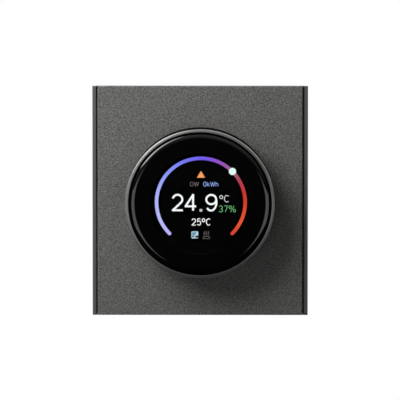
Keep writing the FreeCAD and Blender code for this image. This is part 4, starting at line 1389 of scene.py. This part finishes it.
@dataclass(frozen=True)
class Row:
    """Equal small things in a row on a board, in millimetres.

    Attributes:
        x: The first one's place along X.
        z: Its place along Z.
        count: How many.
        step: From one to the next along X and Z.
    """

    x: float
    z: float
    count: int
    step: Point

    def places(self) -> list[Point]:
        """Each one's place as (x, z)."""
        return [(self.x + n * self.step[0], self.z + n * self.step[1]) for n in range(self.count)]


@dataclass(frozen=True)
class PartRow(Row):
    """Soldered parts, whose places are their middles.

    Attributes:
        finish: The finish of their middles.
        size: Their length, width and height.
        upright: Whether their ends point up and down.
    """

    finish: str = "chip_black"
    size: Corner = (1.6, 0.8, 0.45)
    upright: bool = False


@dataclass(frozen=True)
class LegRow(Row):
    """Legs along one side of a chip, whose places are where they leave it.

    Attributes:
        reach: How far they reach along X and Z.
        height: Their height at the chip.
    """

    reach: Point
    height: float = 0.5


@dataclass(frozen=True)
class BoardSide:
    """One side of a board with its small soldered parts.

    Attributes:
        name: The start of its pieces' names.
        body: The body that carries the board.
        face: Where its surface is along Y, in millimetres.
        way: -1 where parts stand towards the front, 1 towards the back.
        rows: Its small parts.
        legs: Its chips' legs.
        joints: Its solder joints as x, z and radius.
        ROUNDING: The rounding of a part's middle.
        SUNK: Where a part's solder starts under the surface.
        HALF_LEG: Half a leg's width.
        PART: A part's sections: start and end in parts of its length, rise in parts of its height,
            and whether it is tinned.
        LEG: A leg's sections: start and end in parts of its reach, low and high in parts of its height.
        CONES: A joint's sections: foot and tip in parts of its radius, and the heights of both.
        CONE_SIDES: Sides of a joint's sections.
    """

    name: str
    body: str
    face: float
    way: int
    rows: tuple[PartRow, ...] = ()
    legs: tuple[LegRow, ...] = ()
    joints: tuple[Corner, ...] = ()

    ROUNDING = 0.04
    SUNK = -0.02
    HALF_LEG = 0.17
    CONE_SIDES = 14
    PART = ((-0.5, -0.34, 1.0, True), (-0.35, 0.35, 0.96, False), (0.34, 0.5, 1.0, True),
            (-0.62, -0.48, 0.3, True), (0.48, 0.62, 0.3, True))
    LEG = ((-0.1, 0.45, 0.6, 1.0), (0.3, 0.5, 0.1, 1.0), (0.3, 1.0, -0.04, 0.3))
    CONES = ((1.0, 0.8, -0.02, 0.10), (0.8, 0.42, 0.10, 0.38), (0.30, 0.26, 0.38, 0.55))

    def span(self, start: float, end: float) -> tuple[float, float]:
        """The lower and upper Y between two heights over the surface."""
        low, high = sorted((self.face + self.way * start, self.face + self.way * end))
        return low, high

    def bar(self, x: Point, z: Point, heights: Point, bevel: float = 0.0) -> Shape:
        """A small block between two X, two Z and two heights over the surface."""
        y0, y1 = self.span(*heights)
        return block((min(x), y0, min(z)), (max(x), y1, max(z)), bevel, 1)

    def small_parts(self) -> list[Dressed]:
        """The rows of small parts, each a body between two tinned ends on solder.

        Returns:
            Each shape with its finish.
        """
        found = []
        for row in self.rows:
            length, width, height = row.size
            for x, z in row.places():
                for start, end, rise, tinned in self.PART:
                    finish = "tinned_steel" if tinned else row.finish
                    along = (start * length, end * length)
                    across = (-width / 2, width / 2)
                    if row.upright:
                        along, across = across, along
                    bevel = self.ROUNDING if finish == row.finish else 0.0
                    found.append((self.bar((x + along[0], x + along[1]), (z + across[0], z + across[1]),
                                           (self.SUNK, rise * height), bevel), finish))
        return found

    def chip_legs(self) -> list[Dressed]:
        """The legs, each a shoulder at the chip and a foot on the board.

        Returns:
            Each shape with its finish.
        """
        found = []
        for row in self.legs:
            for x, z in row.places():
                for start, end, low, high in self.LEG:
                    sides = [(at + start * reach, at + end * reach) if reach
                             else (at - self.HALF_LEG, at + self.HALF_LEG)
                             for at, reach in ((x, row.reach[0]), (z, row.reach[1]))]
                    found.append(self.bar(*sides, (low * row.height, high * row.height)))
        return dressed("tinned_steel", found)

    def solder_joints(self) -> list[Dressed]:
        """The joints, each a cone of solder round the end of a pin.

        Returns:
            Each shape with its finish.
        """
        found = []
        for x, z, radius in self.joints:
            for wide, slim, start, end in self.CONES:
                y0, y1 = self.span(start, end)
                ends = (wide, slim) if self.way < 0 else (slim, wide)
                found.append(disc(ends[0] * radius, y0, y1, x, z, self.CONE_SIDES, ends[1] * radius))
        return dressed("solder", found)

    def build(self, finishes: Finishes) -> None:
        """Makes all that the side has.

        Args:
            finishes: The finishes to choose from.
        """
        for rows, ending, slot, shapes, smooth in (
                (self.rows, "_small_parts", "chip_black", self.small_parts, False),
                (self.legs, "_chip_legs", "tinned_steel", self.chip_legs, False),
                (self.joints, "_solder_joints", "tinned_steel", self.solder_joints, True)):
            if rows:
                make(self.name + ending, self.body, slot, finishes, shapes(), smooth)


BROWN = "ceramic_brown"
BOARD_SIDES = (
    BoardSide(
        "control_front", "front_unit", -4.4, -1,
        rows=(
            PartRow(14.4, 11.0, 4, (0, 1.9), BROWN), PartRow(27.2, 10.6, 4, (0, 1.9)),
            PartRow(17.6, 19.1, 4, (1.9, 0), BROWN, upright=True), PartRow(27.2, 20.4, 3, (0, 1.9), BROWN),
            PartRow(12.6, 21.6, 1, (1, 0), "tinned_steel", (3.2, 1.5, 0.7)),
            PartRow(12.6, 24.2, 2, (0, 1.7), BROWN),
            PartRow(-12.4, 16.5, 6, (0, 1.9)), PartRow(-24.5, 3.6, 4, (2.0, 0), BROWN, upright=True),
            PartRow(-26.6, -17.5, 5, (0, 1.9)),
            PartRow(-12.4, -16.6, 2, (0, 3.2), "chip_black", (2.9, 1.4, 1.0)),
            PartRow(-21.5, -22.0, 5, (2.0, 0), upright=True),
            PartRow(-22.0, -28.2, 7, (2.2, 0), BROWN, upright=True),
            PartRow(-20.5, -31.6, 4, (2.6, 0)), PartRow(9.4, -27.6, 6, (2.2, 0), upright=True),
            PartRow(13.6, -31.6, 3, (3.0, 0), BROWN), PartRow(27.0, -24.0, 7, (0, 1.9)),
            PartRow(-20.0, 31.4, 5, (2.4, 0)), PartRow(9.6, 31.4, 5, (2.6, 0), BROWN),
            PartRow(9.6, 28.6, 4, (2.4, 0), upright=True),
            PartRow(-20.0, -25.0, 1, (1, 0), "ferrite", (4.0, 3.8, 1.6)),
        ),
        legs=(
            LegRow(16.5, 10.8, 9, (0, 0.8), (-0.9, 0)), LegRow(24.5, 10.8, 9, (0, 0.8), (0.9, 0)),
            LegRow(-29.0, 6.0, 10, (1.55, 0), (0, -0.7), 0.3),
            LegRow(-14.5, 7.0, 12, (0, 1.2), (0.7, 0), 0.3),
        ),
    ),
    BoardSide(
        "control_back", "front_unit", -3.2, 1,
        rows=(
            PartRow(9.4, 18.4, 5, (2.2, 0), BROWN, upright=True), PartRow(-17.0, 20.0, 4, (0, 1.9)),
            PartRow(-12.6, 10.0, 4, (0, 1.9), BROWN),
            PartRow(-9.4, 18.4, 2, (-3.6, 0), "chip_black", (2.9, 1.4, 0.85)),
            PartRow(8.6, -20.5, 4, (2.2, 0), upright=True),
            PartRow(-8.0, -20.5, 5, (-2.2, 0), BROWN, upright=True),
            PartRow(11.4, 9.4, 4, (0, 1.9)),
        ),
        joints=(
            (15.4, -4.0, 0.8), (18.0, -4.0, 0.8), (20.6, -4.0, 0.8), (15.4, 4.0, 0.8), (20.6, 4.0, 0.8),
            (-22.0, -14.2, 0.9), (-16.5, -14.2, 0.9), (12.9, -16.8, 0.9), (23.7, -16.8, 0.9),
            (-2.6, -2.2, 0.7), (2.6, -2.2, 0.7), (-2.6, 2.2, 0.7), (2.6, 2.2, 0.7),
        ),
    ),
    BoardSide(
        "display_back", "display_head", -15.9, 1,
        rows=(
            PartRow(-12.0, -12.6, 4, (0, 1.8), BROWN), PartRow(12.6, -10.6, 3, (0, 1.8)),
            PartRow(-4.4, 10.4, 5, (2.2, 0), BROWN, upright=True),
            PartRow(5.6, -13.4, 2, (2.4, 0), upright=True),
            PartRow(-16.4, 1.8, 3, (0, -1.8)),
        ),
        legs=(
            LegRow(-9.5, -12.9, 8, (0, 0.82), (-0.9, 0)), LegRow(-2.5, -12.9, 8, (0, 0.82), (0.9, 0)),
            LegRow(7.9, -10.5, 4, (0.72, 0), (0, -0.7), 0.35),
            LegRow(7.9, -7.5, 4, (0.72, 0), (0, 0.7), 0.35),
        ),
    ),
    BoardSide(
        "power_front", "wall_base", 3.0, -1,
        joints=(
            (-18.5, 13.8, 1.1), (-18.5, 1.2, 1.1), (-4.0, 13.8, 1.1), (-4.0, 1.2, 1.1), (-10.5, 1.2, 1.1),
            (4.4, 3.6, 0.8), (10.6, 3.6, 0.8), (4.4, 14.8, 0.8), (7.5, 14.8, 0.8), (10.6, 14.8, 0.8),
            (17.2, 6.2, 0.8), (20.4, 6.2, 0.8), (17.9, -1.9, 0.8), (20.5, -1.9, 0.8),
            (-17.0, -3.6, 0.9), (-7.0, -3.6, 0.9), (-3.2, -3.6, 0.9), (5.2, -3.6, 0.9), (9.2, -3.6, 0.9),
            (13.8, -3.6, 0.9), (-12.5, -17.5, 1.3), (-7.5, -17.5, 1.3), (-2.5, -17.5, 1.3), (2.5, -17.5, 1.3),
            (7.5, -17.5, 1.3), (12.5, -17.5, 1.3),
        ),
    ),
    BoardSide(
        "power_back", "wall_base", 4.6, 1,
        rows=(
            PartRow(-12.0, 18.4, 5, (2.2, 0), upright=True), PartRow(0.4, 18.6, 3, (2.6, 0), BROWN),
            PartRow(-15.0, -7.6, 4, (2.6, 0)), PartRow(17.6, -8.0, 2, (0, -2.0), BROWN),
            PartRow(9.4, -7.2, 1, (1, 0), "chip_black", (5.0, 3.2, 1.5)),
        ),
        legs=(LegRow(2.9, 3.4, 4, (0, 3.2), (-1.4, 0), 0.9), LegRow(12.1, 3.4, 4, (0, 3.2), (1.4, 0), 0.9)),
    ),
)


@dataclass
class ReturnSprings:
    """The three coil springs behind the display's head, built at rest; the real ones shorten as it is
    pressed.

    Attributes:
        finishes: The finishes.
        orbit: Their distance from the knob's axis, in millimetres.
        radius: The coils' outer radius.
        wire: The wire's thickness.
        front: Where they start along Y.
        back: Where they rest on the frame.
        turns: Turns of the wire.
        flat: Turns at each end that lie flat.
        close: The pitch of the flat turns in parts of the wire's thickness.
        travel: How far the head is pressed; not used here.
        around: Where they stand round the axis, in degrees.
        steps: Steps of one turn.
        sides: Sides of the wire.
    """

    finishes: Finishes
    orbit: float = 16.18
    radius: float = 1.6
    wire: float = 0.35
    front: float = -12.7
    back: float = -8.5
    turns: float = 6.0
    flat: float = 0.9
    close: float = 1.02
    travel: float = 0.5
    around: tuple[float, ...] = (60, 180, 300)
    steps: int = 32
    sides: int = 10

    def middle_at(self, turn: float) -> float:
        """The wire's middle along Y after some turns.

        Args:
            turn: The turns.

        Returns:
            Its Y in millimetres.
        """
        pitch = self.wire * self.close
        length = self.back - self.front - self.wire - 2 * self.flat * pitch
        active = self.turns - 2 * self.flat
        inside = min(max(turn - self.flat, 0.0), active)
        ends = min(turn, self.flat) + max(turn - self.flat - active, 0.0)
        return self.front + self.wire / 2 + ends * pitch + length * inside / active

    def coil(self, x: float, z: float) -> Shape:
        """One spring about an axis along Y.

        Args:
            x: The axis along X.
            z: The axis along Z.

        Returns:
            The mesh.
        """
        bm = bmesh.new()
        mean = self.radius - self.wire / 2
        count = round(self.turns * self.steps)
        before: list[bmesh.types.BMVert] = []
        for n in range(count + 1):
            turn = n / self.steps
            angle = math.tau * turn
            y = self.middle_at(turn)
            ring = []
            for side in range(self.sides):
                lean = math.tau * side / self.sides
                out = mean + self.wire / 2 * math.cos(lean)
                rise = y + self.wire / 2 * math.sin(lean)
                ring.append(bm.verts.new(((x + out * math.cos(angle)) * MM, rise * MM,
                                          (z + out * math.sin(angle)) * MM)))
            for side in range(self.sides if before else 0):
                after = (side + 1) % self.sides
                bm.faces.new((before[side], before[after], ring[after], ring[side]))
            if n in (0, count):
                bm.faces.new(ring)
            before = ring
        bmesh.ops.recalc_face_normals(bm, faces=bm.faces)
        return bm

    def build(self) -> None:
        """Makes the springs in place of their CAD node."""
        coils = []
        for degrees in self.around:
            angle = math.radians(degrees)
            coils.append(self.coil(self.orbit * math.cos(angle), self.orbit * math.sin(angle)))
        springs = make("coil_springs", "front_unit", "spring_steel", self.finishes,
                       dressed("spring_steel", coils), replaces=["return_springs"])
        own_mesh(springs)


@dataclass
class InnerDetails:
    """The antenna, the shield's lid, the cell's contact and the tops of the power board's parts."""

    finishes: Finishes

    def antenna(self) -> list[Shape]:
        """The radio module's folded copper track.

        Returns:
            Its shapes.
        """
        shapes = []
        left, low, high, step, width = -27.8, 22.6, 27.2, 1.5, 0.5
        front, back = -5.25, -5.18
        count = 8
        for n in range(count):
            x = left + n * step
            shapes.append(block((x, front, low), (x + width, back, high)))
            if n < count - 1:
                z = high - width if n % 2 == 0 else low
                shapes.append(block((x, front, z), (x + step + width, back, z + width)))
        shapes.append(block((left, front, 21.2), (left + width, back, low + 0.2)))
        return shapes

    def shield_lid(self) -> list[Shape]:
        """The lid pressed over the radio's shield, with its dimples."""
        dimples = [disc(0.45, -6.9, -6.8, x, z, 20, 0.3) for x in (-26.5, -22.0, -17.5) for z in (8.4, 19.6)]
        return [block((-28.2, -6.82, 7.3), (-15.8, -6.65, 20.7), 0.08), *dimples]

    def cell_contact(self) -> list[Shape]:
        """The spring strip over the backup cell, with its two feet."""
        spans = ((12.0, 24.6, -6.62, -6.4), (11.6, 12.1, -6.62, -4.4), (24.5, 25.0, -6.62, -4.4),
                 (10.6, 12.1, -4.6, -4.38), (24.5, 25.9, -4.6, -4.38))
        return [block((x0, y0, -17.8), (x1, y1, -15.8), 0.06) for x0, x1, y0, y1 in spans]

    def power_parts(self) -> list[Dressed]:
        """The relay's raised lid, the capacitors' scored tops and the transformer's pin strips.

        Returns:
            Each shape with its finish.
        """
        found = dressed("relay_case", [block((-19.4, 19.95, 0.1), (-2.6, 20.15, 14.9), 0.09),
                                       disc(0.7, 20.1, 20.35, -17.6, 13.0, 24, 0.9)])
        thin = 0.1
        for x, z, radius, top in ((18.6, 6.2, 3.3, 17.1), (19.2, -1.9, 2.3, 12.6)):
            found.append((disc(radius, top - 0.05, top + 0.06, x, z, 40), "tinned_steel"))
            for wide, tall in ((radius * 0.8, thin), (thin, radius * 0.8)):
                found.append((block((x - wide, top, z - tall), (x + wide, top + 0.09, z + tall)), "ferrite"))
        strips = [block((2.6, 4.62, z), (12.4, 6.6, z + 1.5), 0.2) for z in (1.2, 15.8)]
        return found + dressed("chip_black", strips)

    def terminal_ribs(self) -> list[Shape]:
        """The ribs that part the terminals on the back of their block.

        Returns:
            Their shapes.
        """
        ribs = [block((x - 0.3, 16.85, -21.1), (x + 0.3, 17.2, -14.6), 0.1) for x in (-10, -5, 0, 5, 10)]
        ribs += [block((x - 1.9, 16.85, -14.4), (x + 1.9, 17.1, -13.6), 0.1)
                 for x in (-12.5, -7.5, -2.5, 2.5, 7.5, 12.5)]
        return ribs

    def build(self) -> None:
        """Makes them all."""
        for name, body, slot, shapes in (
                ("wifi_antenna", "front_unit", "brass", dressed("brass", self.antenna())),
                ("shield_lid", "front_unit", "tinned_steel", dressed("tinned_steel", self.shield_lid())),
                ("cell_contact", "front_unit", "spring_steel", dressed("spring_steel", self.cell_contact())),
                ("power_part_tops", "wall_base", "relay_case", self.power_parts()),
                ("terminal_ribs", "wall_base", "terminal_plastic",
                 dressed("terminal_plastic", self.terminal_ribs()))):
            make(name, body, slot, self.finishes, shapes)


@dataclass(frozen=True)
class Lamp:
    """A rectangular lamp that faces the thermostat.

    Attributes:
        name: Its name.
        place: Where it stands, in metres.
        width: Its width in metres.
        height: Its height in metres.
        power: Its power in watts.
        only_gloss: Whether it shows in glossy surfaces alone.
    """

    name: str
    place: Corner
    width: float
    height: float
    power: float
    only_gloss: bool = False

    def build(self, aim: Corner) -> None:
        """Adds the lamp, turned to a point.

        Args:
            aim: The point.
        """
        data = bpy.data.lights.new(self.name, "AREA")
        data.shape = "RECTANGLE"
        data.size = self.width
        data.size_y = self.height
        data.energy = self.power
        lamp = new_object(self.name, data)
        lamp.location = self.place
        lamp.rotation_euler = facing(Vector(self.place), Vector(aim))
        lamp.visible_camera = False
        lamp.visible_diffuse = not self.only_gloss


@dataclass
class Studio:
    """The floor, the world, the lamps and the camera."""

    elevation: float = 6.15
    azimuth: float = 0.45
    distance: float = 2.5
    frame_width: float = 0.15970
    sensor: float = 36.0
    far: float = 200.0
    aim: Corner = (-0.00006, -0.0105, 0.00027)
    floor_level: float = -1.2
    floor_half: float = 30.0
    floor_colour: tuple[float, float, float, float] = (0.8, 0.8, 0.8, 1.0)
    floor_depths: Point = (0.0, 0.6)
    mirror_depths: Point = (-0.5, 0.35)
    mirror_heights: Point = (0.05, 0.6)
    even_depths: Point = (0.3, 0.9)
    ambient_front: float = 0.02
    sky: float = 0.5
    ambient_back: float = 0.75
    lamps: tuple[Lamp, ...] = (
        Lamp("key", (-0.222, -0.172, 0.2420), 0.29, 0.29, 2.52),
        Lamp("edge_box", (0.38, -0.13, 0.50), 0.15, 1.00, 3.0, only_gloss=True),
        Lamp("left_strip", (-0.60, -0.10, 0.12), 0.12, 0.60, 1.2, only_gloss=True),
        Lamp("left_box", (-0.68, -1.32, -0.26), 0.95, 0.62, 3.2, only_gloss=True),
        Lamp("right_box", (0.75, -1.29, -0.25), 1.05, 0.54, 3.0, only_gloss=True),
    )

    def camera(self) -> None:
        """Puts the camera at the photograph's angle and distance."""
        data = bpy.data.cameras.new("camera")
        data.sensor_width = self.sensor
        data.lens = self.sensor * self.distance / self.frame_width
        data.clip_end = self.far
        rise = math.radians(self.elevation)
        side = math.radians(self.azimuth)
        aim = Vector(self.aim)
        away = Vector((math.sin(side) * math.cos(rise), -math.cos(side) * math.cos(rise), math.sin(rise)))
        spot = aim + away * self.distance
        camera = new_object("camera", data)
        camera.location = spot
        camera.rotation_euler = facing(spot, aim)
        bpy.context.scene.camera = camera

    def world(self) -> None:
        """White to the camera, a soft even light to the surfaces, and dark in front for reflections."""
        world = bpy.data.worlds.new("studio")
        world.use_nodes = True
        bpy.context.scene.world = world
        graph = Graph(world.node_tree)
        rays, parts, either = graph.mirrored(graph.add("TexCoord").outputs["Generated"])
        behind = graph.spread(parts["Y"], 0.0, 1.0, *self.mirror_depths)
        above = graph.spread(parts["Z"], 0.0, self.sky, *self.mirror_heights)
        mirrored = graph.maths("MULTIPLY", either, graph.maths("MAXIMUM", behind, above))
        even = graph.spread(parts["Y"], self.ambient_front, self.ambient_back, *self.even_depths)
        soft = graph.maths("MULTIPLY", rays["Is Diffuse Ray"], even)
        strength = graph.maths("ADD", graph.maths("MAXIMUM", rays["Is Camera Ray"], mirrored), soft)
        background = graph.add("Background", {"Strength": strength, "Color": WHITE})
        graph.add("OutputWorld", {"Surface": background.outputs[0]})

    def floor(self) -> None:
        """A plain pale floor well below, white to the camera and dark in front for reflections."""
        material = bpy.data.materials.new("pale_floor")
        material.use_nodes = True
        graph = Graph(material.node_tree)
        rays, parts, either = graph.mirrored(graph.place())
        mirrored = graph.maths("MULTIPLY", either, graph.spread(parts["Y"], 0.0, 1.0, *self.floor_depths))
        camera = rays["Is Camera Ray"]
        matt = graph.add("BsdfDiffuse", {"Color": self.floor_colour})
        white = graph.add("Emission", {"Strength": graph.maths("MAXIMUM", camera, mirrored)})
        mix = graph.add("MixShader", {0: graph.maths("MAXIMUM", camera, either), 1: matt.outputs[0],
                                      2: white.outputs[0]})
        graph.add("OutputMaterial", {"Surface": mix.outputs[0]})
        bm = bmesh.new()
        bmesh.ops.create_grid(bm, x_segments=1, y_segments=1, size=self.floor_half)
        bmesh.ops.translate(bm, vec=(0.0, 0.0, self.floor_level), verts=bm.verts)
        data = bpy.data.meshes.new("floor")
        bm.to_mesh(data)
        bm.free()
        data.materials.append(material)
        floor = new_object("floor", data)

    def build(self) -> None:
        """Makes the studio."""
        bpy.context.scene.view_settings.view_transform = "Standard"
        self.camera()
        self.world()
        self.floor()
        for lamp in self.lamps:
            lamp.build(self.aim)


def dress(frame: dict, finishes: Finishes) -> None:
    """Gives every CAD node the finish of its slot.

    Args:
        frame: The loaded frame.
        finishes: The finishes.
    """
    for part in frame["record"]["subparts"]:
        node = frame["nodes"][part["node"]]
        material = finishes[part["material_slot"]]
        if not node.material_slots:
            node.data.materials.append(material)
        for socket in node.material_slots:
            socket.material = material
        LOG.info("%s: %s", part["node"], part["material_slot"])


def main() -> None:
    """Builds the thermostat's looks in order."""
    logging.basicConfig(level=logging.INFO, format="%(message)s")
    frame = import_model()
    Studio().build()
    finishes = Finishes()
    dress(frame, finishes)
    GrooveEnds(finishes).build()
    Knob(finishes).build()
    CoverGlass(finishes).build()
    Picture(finishes).build()
    for side in BOARD_SIDES:
        side.build(finishes)
    ReturnSprings(finishes).build()
    InnerDetails(finishes).build()


if __name__ == "__main__":
    main()
